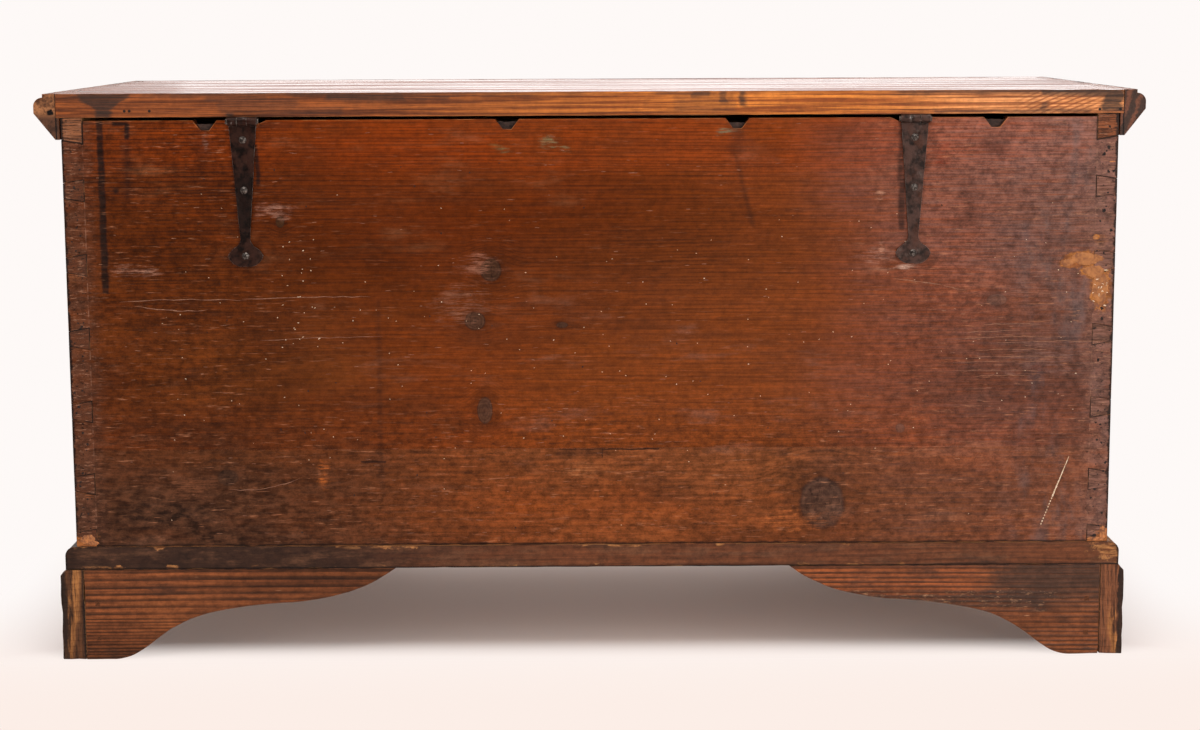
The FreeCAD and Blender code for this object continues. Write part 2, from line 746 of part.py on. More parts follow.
BACKWARD, DOWNWARD, FORWARD = Vector(0, 1, 0), Vector(0, 0, -1), Vector(0, -1, 0)
strap_places = []
leaf_places = []
for name, middle in (("right", s.right_hinge_at), ("left", -s.left_hinge_at)):
    fan_screw = s.neck_drop + s.fan_shoulder
    for drop in (s.first_screw, s.second_screw, fan_screw):
        place = (middle, back_y + s.strap_thick, pivot_z - drop)
        strap_places.append((place, BACKWARD, (f"{name}_hinge_strap", "back_board_upper")))
    for along in (s.first_leaf_screw, s.second_screw, fan_screw - barrel_reach / 2):
        place = (middle, back_y - along, lid_under - s.strap_thick)
        leaf_places.append((place, DOWNWARD, (f"{name}_hinge_leaf", "lid_board_rear")))
screw, hole_for_screw = screw_shape(), screw_shank(s.drilled_fit.value)
fasten("strap_screws", screw, hole_for_screw, strap_places)
fasten("leaf_screws", screw, hole_for_screw, leaf_places)

bottom_places = []
for share in LONG_WALL_NAIL_SHARES:
    along = half * share
    bottom_places.append(((along, back_y - s.long_wall / 2, s.foot_height), DOWNWARD,
                          ("bottom_board_rear", "back_board_lower")))
    bottom_places.append(((along, front_y + s.long_wall / 2, s.foot_height), DOWNWARD,
                          ("bottom_board_front", "front_board_lower")))
for name, side in (("right", 1), ("left", -1)):
    for share, bottom in zip(SIDE_WALL_NAIL_SHARES, ("front", "rear")):
        place = ((half - s.side_wall / 2) * side, front_y + s.case_depth * share, s.foot_height)
        bottom_places.append((place, DOWNWARD, (f"bottom_board_{bottom}", f"{name}_side_lower")))
fasten("bottom_nails", nail_shape(), nail_hole(), bottom_places)

moulding_places = []
nail_z = lid_top - s.mould_step - (s.mould_reach - s.mould_top) - s.mould_face / 2
for name, side in (("right", 1), ("left", -1)):
    for share in LID_END_NAIL_SHARES:
        along = back_y - (s.case_depth + s.lid_reach) * share
        lid_board = "lid_board_rear" if along.value > lid_seam.value else "lid_board_front"
        moulding_places.append((((lid_end + s.mould_reach) * side, along, nail_z), Vector(side, 0, 0),
                                (f"lid_moulding_{name}", lid_board)))
for share in LID_FRONT_NAIL_SHARES:
    moulding_places.append(((half * share, lid_front - s.mould_reach, nail_z), FORWARD,
                            ("lid_moulding_front", "lid_board_front")))
fasten("moulding_nails", nail_shape(), nail_hole(), moulding_places)

bracket_places = []
for name, side in (("right", 1), ("left", -1)):
    block_x = (foot_end - s.foot_wall - s.block_width / 2) * side
    rear_y = back_y - s.back_bracket_wall - s.block_width / 2
    fore_y = foot_front + s.foot_wall + s.block_width / 2
    outward = Vector(side, 0, 0)
    for share, side_share in zip(BRACKET_NAIL_SHARES, SIDE_BRACKET_NAIL_SHARES):
        up = s.foot_height * share
        over = s.foot_height * side_share
        bracket_places += [
            ((block_x, back_y, up), BACKWARD, (f"back_{name}_bracket", f"back_{name}_block")),
            ((block_x, foot_front, up), FORWARD, (f"front_{name}_bracket", f"front_{name}_block")),
            ((foot_end * side, rear_y, over), outward, (f"{name}_rear_bracket", f"back_{name}_block")),
            ((foot_end * side, fore_y, over), outward, (f"{name}_front_bracket", f"front_{name}_block")),
        ]
fasten("bracket_nails", nail_shape(), nail_hole(), bracket_places)

# Drill each board for the fasteners that go through it
doc.recompute()
for label, cutters in holes.items():
    blank = nodes[label]
    blank.Label = label + "_blank"
    drill = doc.addObject("Part::Feature", label + "_drill")
    drill.Shape = Part.makeCompound(cutters)
    drilled = doc.addObject("Part::Cut", label + "_drilled")
    drilled.Base = blank
    drilled.Tool = drill
    drilled.Label = label
    nodes[label] = drilled

# Check everything, then write one file for each piece
doc.recompute()
for one in doc.Objects:
    if "Invalid" in one.State or "Error" in one.State:
        raise RuntimeError(f"{one.Label} failed: {one.State}")
for label, one in nodes.items():
    if one.Shape.isNull() or not one.Shape.isValid() or not one.Shape.Solids:
        raise RuntimeError(f"{label} has no valid solid")
os.makedirs("parts", exist_ok=True)
for label, one in nodes.items():
    one.Shape.exportStep(f"parts/{label}.step")
print(f"{len(nodes)} pieces written")
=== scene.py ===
import math
import random

import bmesh
import bpy
from mathutils import Matrix, Vector, noise


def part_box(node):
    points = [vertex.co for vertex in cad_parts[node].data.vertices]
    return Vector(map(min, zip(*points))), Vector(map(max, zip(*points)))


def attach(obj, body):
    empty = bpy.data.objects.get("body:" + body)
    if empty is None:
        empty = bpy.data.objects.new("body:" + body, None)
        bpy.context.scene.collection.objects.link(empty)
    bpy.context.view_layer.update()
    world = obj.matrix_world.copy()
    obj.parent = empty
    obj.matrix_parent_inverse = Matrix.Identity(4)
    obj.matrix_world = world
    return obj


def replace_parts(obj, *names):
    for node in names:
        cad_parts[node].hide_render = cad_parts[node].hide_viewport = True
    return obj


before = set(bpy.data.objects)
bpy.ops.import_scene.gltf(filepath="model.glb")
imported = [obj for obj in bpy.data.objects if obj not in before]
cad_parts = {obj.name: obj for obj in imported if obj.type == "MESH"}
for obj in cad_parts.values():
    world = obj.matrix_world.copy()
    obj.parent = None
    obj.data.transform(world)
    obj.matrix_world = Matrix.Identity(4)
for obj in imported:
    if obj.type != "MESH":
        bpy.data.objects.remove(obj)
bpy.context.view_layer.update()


# Back wall: two pine boards, glued edge to edge and joined to the sides by dovetails. The outside was stained
# and varnished long ago and is full of knots, drips and scuffs; the inside was left as it was planed.
class Nodes:
    """A tree of shader nodes and the calls that add to it."""

    def __init__(self, tree):
        self.nodes, self.links = tree.nodes, tree.links

    def put(self, socket, value):
        if isinstance(value, bpy.types.NodeSocket):
            self.links.new(value, socket)
        elif value is not None:
            socket.default_value = value

    def add(self, kind, *values, **settings):
        made = self.nodes.new("ShaderNode" + kind)
        for key, value in settings.items():
            setattr(made, key, value)
        for socket, value in zip(made.inputs, values):
            self.put(socket, value)
        return made

    def reckon(self, how, *values):
        return self.add("Math", *values, operation=how).outputs[0]


class Finish(Nodes):
    """A finish made of shader nodes; places are in metres, in the chest's own frame. Its colour and rough are
    what has been laid so far, and surface puts them on the piece."""

    def __init__(self, name, **fixed):
        self.material = bpy.data.materials.new(name)
        self.material.use_nodes = True
        super().__init__(self.material.node_tree)
        self.shader = self.nodes["Principled BSDF"]
        for socket, value in fixed.items():
            self.shader.inputs[socket.replace("_", " ")].default_value = value
        spot = self.add("TexCoord")
        self.place, self.normal = spot.outputs["Object"], spot.outputs["Normal"]
        self.x, self.y, self.z = self.add("SeparateXYZ", self.place).outputs

    def plus(self, one, two):
        return self.reckon("ADD", one, two)

    def less(self, one, two):
        return self.reckon("SUBTRACT", one, two)

    def most(self, one, two):
        return self.reckon("MAXIMUM", one, two)

    def size(self, value):
        return self.reckon("ABSOLUTE", value)

    def off(self, value, centre):
        """How far a value is from a centre, either way."""
        return self.size(self.less(value, centre))

    def times(self, *values):
        total = values[0]
        for value in values[1:]:
            total = self.reckon("MULTIPLY", total, value)
        return total

    def join(self, one, two, three=0):
        return self.add("CombineXYZ", one, two, three).outputs[0]

    def span(self, place):
        return self.add("VectorMath", place, operation="LENGTH").outputs["Value"]

    def haze(self, place, stretch, detail, rough):
        """Soft noise from 0 to 1; stretch is how many times it changes in a metre, for each axis."""
        stretched = self.add("VectorMath", place, stretch, operation="MULTIPLY").outputs[0]
        return self.add("TexNoise", stretched, None, 1, detail, rough).outputs[0]

    def cloud(self, level, up, detail=2, rough=0.5):
        """Haze in the chest's frame, with one stretch for both level axes and one upwards."""
        return self.haze(self.place, (level, level, up), detail, rough)

    def grained(self, along, across, detail=2, rough=0.5):
        """Haze with one stretch along the grain and one across it."""
        return self.haze(self.grain, (along, across, across), detail, rough)

    def rise(self, value, low, high, bottom=0, top=1):
        made = self.add("MapRange", value, low, high, bottom, top, interpolation_type="SMOOTHSTEP")
        return made.outputs[0]

    def fall(self, value, low, high):
        return self.rise(value, low, high, 1, 0)

    def wander(self, value, haze, reach):
        """A value that haze moves to either side."""
        return self.plus(value, self.times(self.less(haze, 0.5), reach))

    def blend(self, share, one, two, how="MIX"):
        """Two colours mixed; three bare numbers are a paint colour."""
        made = self.add("Mix", share, data_type="RGBA", blend_type=how)
        for socket, value in zip(made.inputs[6:8], (one, two)):
            painted = isinstance(value, tuple) and len(value) == 3
            self.put(socket, shade(*value) if painted else value)
        return made.outputs[2]

    def coat(self, tint, *shares):
        """Lay a colour over what is there, as thick as the product of its shares."""
        self.colour = self.blend(self.times(*shares), self.colour, tint)

    def spread(self, haze, low, high, strength, tint):
        """Lay a colour where haze is high."""
        self.coat(tint, self.rise(haze, low, high, 0, strength))

    def dye(self, share, *left):
        """Change what is there to so much of its red, green and blue."""
        self.colour = self.blend(share, self.colour, (*left, 1), "MULTIPLY")

    def ramp(self, value, *stops):
        made = self.add("ValToRGB", value)
        points = made.color_ramp.elements
        while len(points) < len(stops):
            points.new(1)
        for point, (at, level) in zip(points, stops):
            point.position = at
            point.color = (level, level, level, 1)
        return made.outputs[0]

    def turned(self, axis):
        return self.add("SeparateXYZ", self.normal).outputs["XYZ".index(axis)]

    def facing(self, axis, way):
        """1 where the surface faces one way along an axis."""
        return self.rise(self.times(self.turned(axis), way), 0.6, 0.9)

    def ends(self, axis):
        return self.rise(self.size(self.turned(axis)), 0.6, 0.9)

    def patch(self, one, two, middle, half, soft):
        """1 inside a soft edged patch, given by its middle and half size on two axes."""
        masks = [self.fall(self.off(value, at), size - soft, size + soft)
                 for value, at, size in zip((one, two), middle, half)]
        return self.times(*masks)

    def oval(self, flat, middle, half):
        """Distance from the middle of an oval, which is 1 on its edge."""
        moved = self.add("VectorMath", flat, (*middle, 0), operation="SUBTRACT").outputs[0]
        return self.span(self.add("VectorMath", moved, (*half, 1), operation="DIVIDE").outputs[0])

    def blot(self, flat, middle, half, haze, ragged, inner, outer):
        """1 inside an oval with a ragged edge."""
        return self.fall(self.wander(self.oval(flat, middle, half), haze, ragged), inner, outer)

    def rubbed(self):
        """1 on the arrises that handling has rounded."""
        return self.add("Attribute", attribute_name="rubbed").outputs["Fac"]

    def surface(self, height, relief):
        self.put(self.shader.inputs["Base Color"], self.colour)
        self.put(self.shader.inputs["Roughness"], self.rough)
        bump = self.add("Bump", 1, relief)
        self.put(bump.inputs["Height"], height)
        self.put(self.shader.inputs["Normal"], bump.outputs[0])
        return self.material


def shade(red, green, blue):
    """A paint colour from its 0 to 255 values."""
    levels = [value / 255 for value in (red, green, blue)]
    return (*(v / 12.92 if v <= 0.04045 else ((v + 0.055) / 1.055) ** 2.4 for v in levels), 1)


def pine(name, along, pith, ring, early, late, drift=0.03, contrast=0.9, gloss=0.36, relief=0.0005, knots=(),
         raw=None, marks=None, end_marks=None, sawn=((100, 56, 32), (56, 32, 20)), pale=(160, 98, 54),
         uneven=3, broken=0.6, closer=None, soft_wood=0.42, streaky=0.6, gritty=0.36, joints=None, **fixed):
    """Old varnished pine. Its growth rings lie round a pith that runs along one axis; they wander, bend round
    the knots, and stand a little proud where the soft wood between them has worn away."""
    fixed.setdefault("Specular_IOR_Level", 0.15)
    f = Finish(name, **fixed)
    across = {"X": (f.y, f.z), "Y": (f.x, f.z), "Z": (f.x, f.y)}[along]
    length = {"X": f.x, "Y": f.y, "Z": f.z}[along]
    f.grain = f.join(length, *across)
    f.flat = f.join(length, across[1])
    section = f.join(0, *(f.less(value, centre) for value, centre in zip(across, pith)))
    radius = f.wander(f.span(section), f.grained(1.3, 5), drift)
    radius = f.wander(radius, f.grained(9, 30), drift * 0.12)
    knot_reach = None
    for middle, half in knots:
        reach = f.oval(f.flat, middle, half)
        pull = f.times(f.fall(reach, 0.3, 3.6), -0.8 if pith[1] < middle[1] else 0.8)
        radius = f.reckon("MULTIPLY_ADD", f.less(across[1], middle[1]), pull, radius)
        knot_reach = f.reckon("MINIMUM", knot_reach, reach) if knot_reach else reach
    if closer:
        below = f.most(f.less(closer[0], f.z), 0)
        radius = f.reckon("MULTIPLY_ADD", below, closer[1], radius)
    years = f.reckon("DIVIDE", radius, ring)
    pace = f.add("TexNoise", None, f.times(years, 0.21), 1, 1, noise_dimensions="1D").outputs[0]
    years = f.wander(years, pace, uneven)
    line = f.ramp(f.reckon("FRACT", years), (0, 0.05), (soft_wood, 0.1), (soft_wood * 0.5 + 0.48, 0.75),
                  (0.84, 1), (0.93, 0.6), (1, 0.05))
    clear = f.rise(f.grained(2.2, 14, 3), 0.3, 0.62, 0.35, 1)
    dash = f.rise(f.grained(24, 240, 3, 0.62), 0.34, 0.6, 1 - broken, 1)
    f.line = f.times(line, clear, dash, contrast(f) if callable(contrast) else contrast)
    f.streak = f.grained(8, 330, 3, 0.6)
    f.colour = f.blend(f.line, early, late)
    f.spread(f.streak, 0.34, 0.7, streaky, late)
    f.spread(f.grained(2.6, 9, 5, 0.55), 0.45, 0.75, 0.45, late)
    f.dye(f.rise(f.grained(30, 900, 2, 0.6), 0.52, 0.8, 0, 0.4), 1.7, 1.6, 1.6)
    height = f.plus(f.times(f.line, 0.55), f.times(f.streak, 0.5))
    height = f.plus(height, f.times(f.grained(14, 40, 3), 0.8))
    f.rough = f.wander(gloss, f.streak, 0.25)
    if knot_reach:
        reach = f.wander(knot_reach, f.grained(75, 75, 3), 0.24)
        whorl = f.rise(f.reckon("SINE", f.times(reach, 21)), -0.8, 0.9)
        cracks = f.haze(f.grain, (300, 300, 90), 3, 0.6)
        heart = f.blend(whorl, (76, 49, 34), (66, 42, 29))
        heart = f.blend(f.rise(cracks, 0.56, 0.64, 0, 0.7), heart, (30, 19, 14))
        f.coat(late, f.fall(reach, 0.9, 2.4), 0.4)
        f.coat(heart, f.fall(reach, 0.86, 1.02), 0.88)
        rim = f.times(f.rise(reach, 0.8, 0.92), f.fall(reach, 0.96, 1.08), 0.4)
        f.coat((40, 24, 16), rim)
        height = f.less(height, f.times(rim, 0.6))
    if marks:
        marks(f)
    gritty = gritty(f) if callable(gritty) else gritty
    grit = f.rise(f.grained(96, 130, 6, 0.82), 0.3, 0.7, f.less(1, gritty), f.plus(1, gritty))
    f.colour = f.blend(1, f.colour, grit, "MULTIPLY")
    f.coat(pale, f.rubbed(), f.rise(f.cloud(55, 55, 3), 0.42, 0.62, 0.05, 0.75))
    if raw:
        bare = f.blend(f.line, (178, 133, 88), (142, 96, 56))
        bare = f.blend(f.rise(f.streak, 0.35, 0.7, 0, 0.5), bare, (120, 80, 48))
        inside = raw(f)
        f.coat(bare, inside)
        f.rough = f.plus(f.rough, f.times(inside, 0.3))
    end = f.ends(along)
    pores = f.rise(f.grained(60, 700), 0.4, 0.7, 0, 0.6)
    f.coat(f.blend(pores, f.blend(f.line, *sawn), sawn[1]), end, 0.9)
    f.rough = f.plus(f.rough, f.times(end, 0.2))
    if end_marks:
        sides = f.colour
        end_marks(f)
        f.colour = f.blend(end, sides, f.colour)
    if joints:
        f.coat(tar, joints(f))
    return f.surface(height, relief)


def fastener_boxes(*nodes):
    """The corners of every separate fastener in some CAD nodes."""
    boxes = []
    for node in nodes:
        shape = bmesh.new()
        shape.from_mesh(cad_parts[node].data)
        bmesh.ops.remove_doubles(shape, verts=shape.verts, dist=1e-6)
        left = set(shape.verts)
        while left:
            stack, group = [left.pop()], []
            while stack:
                vert = stack.pop()
                group.append(vert.co.copy())
                for edge in vert.link_edges:
                    other = edge.other_vert(vert)
                    if other in left:
                        left.remove(other)
                        stack.append(other)
            boxes.append([[pick(point[i] for point in group) for i in range(3)] for pick in (min, max)])
        shape.free()
    return sorted(boxes)


drilled = fastener_boxes("strap_screws", "leaf_screws", "bottom_nails", "moulding_nails", "bracket_nails")
NEAR = 0.0004


def arrises(shape, seam):
    """The sharp edges of a piece, apart from those of its nail and screw holes and of its glued seam."""
    found = []
    for edge in shape.edges:
        if edge.is_manifold and edge.calc_face_angle() > math.radians(25):
            middle = (edge.verts[0].co + edge.verts[1].co) / 2
            glued = seam and all(abs(vert.co["XYZ".index(seam[0])] - seam[1]) < NEAR for vert in edge.verts)
            bored = any(all(low[i] - NEAR < middle[i] < high[i] + NEAR for i in range(3))
                        for low, high in drilled)
            if not glued and not bored:
                found.append(edge)
    return found


def show(name, shape, material, body):
    """Turn a shape into a piece that rides on a body."""
    mesh = bpy.data.meshes.new(name)
    shape.to_mesh(mesh)
    shape.free()
    mesh.shade_smooth()
    mesh.set_sharp_from_angle(angle=math.radians(22))
    piece = bpy.data.objects.new(name, mesh)
    bpy.context.scene.collection.objects.link(piece)
    mesh.materials.append(material)
    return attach(piece, body)


def worn(node, material, body, edge=0.0006, rub=0.6, step=0.03, seam=None):
    """The CAD piece with its sharp edges, apart from those at a glued seam, rubbed down unevenly."""
    shape = bmesh.new()
    shape.from_mesh(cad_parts[node].data)
    bmesh.ops.remove_doubles(shape, verts=shape.verts, dist=1e-6)
    bmesh.ops.dissolve_limit(shape, angle_limit=math.radians(0.5), verts=shape.verts, edges=shape.edges)
    for one in [e for e in arrises(shape, seam) if e.calc_length() > step * 2]:
        bmesh.ops.bisect_edges(shape, edges=[one], cuts=int(one.calc_length() / step))
    made = bmesh.ops.bevel(shape, geom=arrises(shape, seam), offset=edge, segments=2, profile=0.6,
                           affect="EDGES", clamp_overlap=True)
    shape.normal_update()
    for vert in made["verts"]:
        deep = max(0, noise.noise(vert.co * 45)) + 0.5 * max(0, noise.noise(vert.co * 170))
        vert.co -= vert.normal * (edge * rub * deep)
    rubbed = shape.loops.layers.float.new("rubbed")
    for face in made["faces"]:
        for loop in face.loops:
            loop[rubbed] = 1
    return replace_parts(show(node + "_worn", shape, material, body), node)


back_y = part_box("back_board_upper")[1].y
case_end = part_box("back_board_upper")[1].x
joint_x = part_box("right_side_upper")[0].x
tar, grime = (26, 18, 15), (46, 31, 23)
# Each dark drip or rust stain: its middle and half size along and up, soft edge, strength and lean
drips = [
    ((0.5558, 0.5325), (0.0037, 0.101), 0.0014, 0.9, 0),
    ((0.5403, 0.5488), (0.0028, 0.0034), 0.0022, 0.75, 0),
    ((0.5325, 0.6245), (0.009, 0.0022), 0.0016, 0.95, 0), ((0.525, 0.616), (0.0027, 0.009), 0.0016, 0.95, 0),
    ((0.5265, 0.575), (0.004, 0.034), 0.006, 0.5, 0), ((0.244, 0.312), (0.0028, 0.112), 0.0028, 0.3, 0),
    ((0.253, 0.2337), (0.0145, 0.0013), 0.0012, 0.85, 0),
    ((0.379, 0.578), (0.0024, 0.023), 0.0016, 0.8, 0.05),
    ((0.356, 0.622), (0.02, 0.003), 0.003, 0.4, 0), ((-0.3545, 0.53), (0.0034, 0.03), 0.002, 0.75, 0),
    ((-0.3525, 0.59), (0.0026, 0.04), 0.002, 0.6, 0), ((-0.02, 0.2475), (0.058, 0.0007), 0.0007, 0.95, 0),
    ((-0.012, 0.243), (0.0008, 0.006), 0.0006, 0.8, 0), ((0.012, 0.244), (0.03, 0.005), 0.004, 0.45, 0),
    ((-0.174, 0.548), (0.0026, 0.044), 0.003, 0.4, 0.25), ((-0.166, 0.606), (0.008, 0.02), 0.008, 0.35, 0),
    ((-0.292, 0.266), (0.02, 0.0016), 0.0014, 0.5, -0.3), ((0.438, 0.595), (0.011, 0.012), 0.008, 0.35, 0),
    ((-0.46, 0.597), (0.018, 0.011), 0.009, 0.45, 0), ((-0.43, 0.536), (0.012, 0.03), 0.009, 0.25, 0),
]
back_knots = [
    ((0.1145, 0.4565), (0.0125, 0.0135)), ((0.1335, 0.3975), (0.012, 0.011)),
    ((0.1233, 0.2935), (0.009, 0.016)), ((-0.4655, 0.419), (0.012, 0.007)),
    ((0.3543, 0.5126), (0.005, 0.007)), ((-0.3564, 0.2705), (0.0055, 0.0055)),
    ((0.0337, 0.3926), (0.007, 0.0036)),
]
low_back_knots = [((-0.267, 0.1825), (0.027, 0.0315)), ((0.4218, 0.216), (0.012, 0.01))]
# Each rubbed or painted place: its middle and half size, its colour and its strength
scuffs = [
    ((0.127, 0.462), (0.026, 0.016), (150, 98, 76), 0.6), ((0.15, 0.418), (0.034, 0.03), (140, 94, 72), 0.45),
    ((0.362, 0.526), (0.022, 0.012), (166, 118, 98), 0.65),
    ((0.521, 0.457), (0.036, 0.008), (156, 112, 92), 0.8),
    ((0.046, 0.6), (0.013, 0.008), (108, 102, 70), 0.9), ((0.03, 0.594), (0.01, 0.005), (108, 102, 70), 0.8),
    ((0.099, 0.594), (0.009, 0.005), (104, 92, 60), 0.6),
    ((-0.153, 0.614), (0.014, 0.005), (110, 98, 72), 0.8),
    ((0.311, 0.219), (0.008, 0.02), (186, 98, 40), 0.75), ((0.47, 0.205), (0.05, 0.016), (120, 72, 46), 0.5),
    ((-0.23, 0.162), (0.05, 0.014), (168, 92, 44), 0.6), ((-0.4, 0.585), (0.01, 0.016), (120, 44, 22), 0.7),
    ((-0.52, 0.352), (0.075, 0.028), (112, 80, 70), 0.55),
    ((-0.33, 0.47), (0.03, 0.012), (150, 108, 92), 0.5),
    ((0.014, 0.223), (0.024, 0.012), (160, 104, 66), 0.5),
    ((-0.515, 0.338), (0.01, 0.008), (90, 40, 24), 0.6),
    ((0.588, 0.147), (0.013, 0.009), (176, 108, 58), 0.9),
    ((-0.589, 0.149), (0.012, 0.01), (178, 106, 54), 0.9),
    ((0.586, 0.196), (0.01, 0.01), (168, 96, 50), 0.7), ((0.592, 0.452), (0.01, 0.012), (160, 92, 48), 0.6),
    ((0.593, 0.545), (0.01, 0.01), (150, 100, 66), 0.6),
    ((-0.585, 0.487), (0.009, 0.007), (172, 104, 54), 0.7),
    ((-0.36, 0.459), (0.014, 0.005), (186, 150, 130), 0.8),
    ((-0.332, 0.479), (0.004, 0.01), (170, 120, 96), 0.6),
    ((-0.335, 0.456), (0.012, 0.004), (160, 112, 88), 0.6),
    ((-0.33, 0.54), (0.006, 0.008), (180, 130, 104), 0.6),
    ((0.437, 0.604), (0.0035, 0.012), (132, 102, 86), 0.7),
    ((0.106, 0.597), (0.01, 0.004), (106, 84, 48), 0.6),
]
# Each broad place where the varnish went dark or wore bright: its middle and half size, and what is left of
# its red, green and blue
uneven_places = [
    ((-0.5, 0.335), (0.17, 0.085), (0.66, 0.74, 0.82)), ((-0.42, 0.18), (0.22, 0.07), (0.78, 0.83, 0.86)),
    ((0.03, 0.46), (0.24, 0.12), (0.84, 0.82, 0.76)), ((0.42, 0.44), (0.23, 0.16), (0.8, 0.84, 0.8)),
    ((0.08, 0.5), (0.38, 0.08), (0.8, 0.8, 0.76)), ((-0.545, 0.46), (0.09, 0.18), (0.78, 0.86, 0.9)),
    ((0, 0.172), (0.32, 0.036), (1.18, 1.14, 1.08)), ((0.26, 0.55), (0.4, 0.1), (0.95, 0.84, 0.58)),
    ((-0.14, 0.33), (0.28, 0.26), (1, 1.16, 1.45)), ((0.34, 0.35), (0.12, 0.07), (1.04, 1.14, 1.35)),
]
# Middle and half size of each dab of the filler at the back's edge
dabs = [((-0.566, 0.4655), (0.027, 0.0095)), ((-0.584, 0.433), (0.012, 0.026)),
        ((-0.545, 0.4615), (0.011, 0.006)), ((-0.576, 0.452), (0.017, 0.009)),
        ((-0.5768, 0.4907), (0.0042, 0.0032))]
# Height of the top pins' lower side, and how it rises towards the corner
TOP_PIN, PIN_SLOPE = 0.6025, 1 / 6


def at_right(f, left=0, right=1):
    """One value on the chest's left half and another on its right half."""
    return f.rise(f.x, -0.1, 0.1, left, right)


def worn_corner(f, margin):
    """Chalky fibres and dark pits on the dovetails, the pits darkened with dirt and painted shade, and the
    black, gnawed corner of the case beside them.
    """
    chalk = f.rise(f.cloud(80, 430, 4, 0.7), 0.54, 0.66, 0, 0.7)
    f.coat((150, 106, 82), chalk, margin)
    # The pits are flat spots: dirt and the painted shade of holes
    pits = f.rise(f.cloud(210, 300, 3, 0.7), 0.61, 0.68, 0, 0.9)
    f.coat(tar, pits, margin)
    corner = f.wander(f.size(f.x), f.cloud(70, 110, 5, 0.68), 0.013)
    f.coat(tar, f.rise(corner, case_end - 0.0036, case_end - 0.0014, 0, 0.9))


def joint_dirt(f):
    """Dirt in the joints round the pins, at both ends of the long walls."""
    gappy = f.rise(f.cloud(45, 70, 3, 0.6), 0.4, 0.56, 0.3, 1)
    beyond = f.less(f.size(f.x), joint_x)
    closed = f.times(f.rubbed(), f.rise(beyond, -0.003, -0.001), gappy)
    above = f.off(f.z, f.reckon("MULTIPLY_ADD", beyond, PIN_SLOPE, TOP_PIN))
    gaping = f.times(f.fall(above, 0.0006, 0.0013), f.rise(beyond, -0.0008, 0.0002), f.ends("Y"))
    return f.times(f.most(closed, gaping), 0.9)


def handled(f, least, most):
    """How rough the back is: most at both ends and low down, least in its middle."""
    ends = f.rise(f.off(f.x, 0.02), 0.24, 0.46)
    return f.rise(f.most(ends, f.fall(f.z, 0.22, 0.36)), 0, 1, least, most)


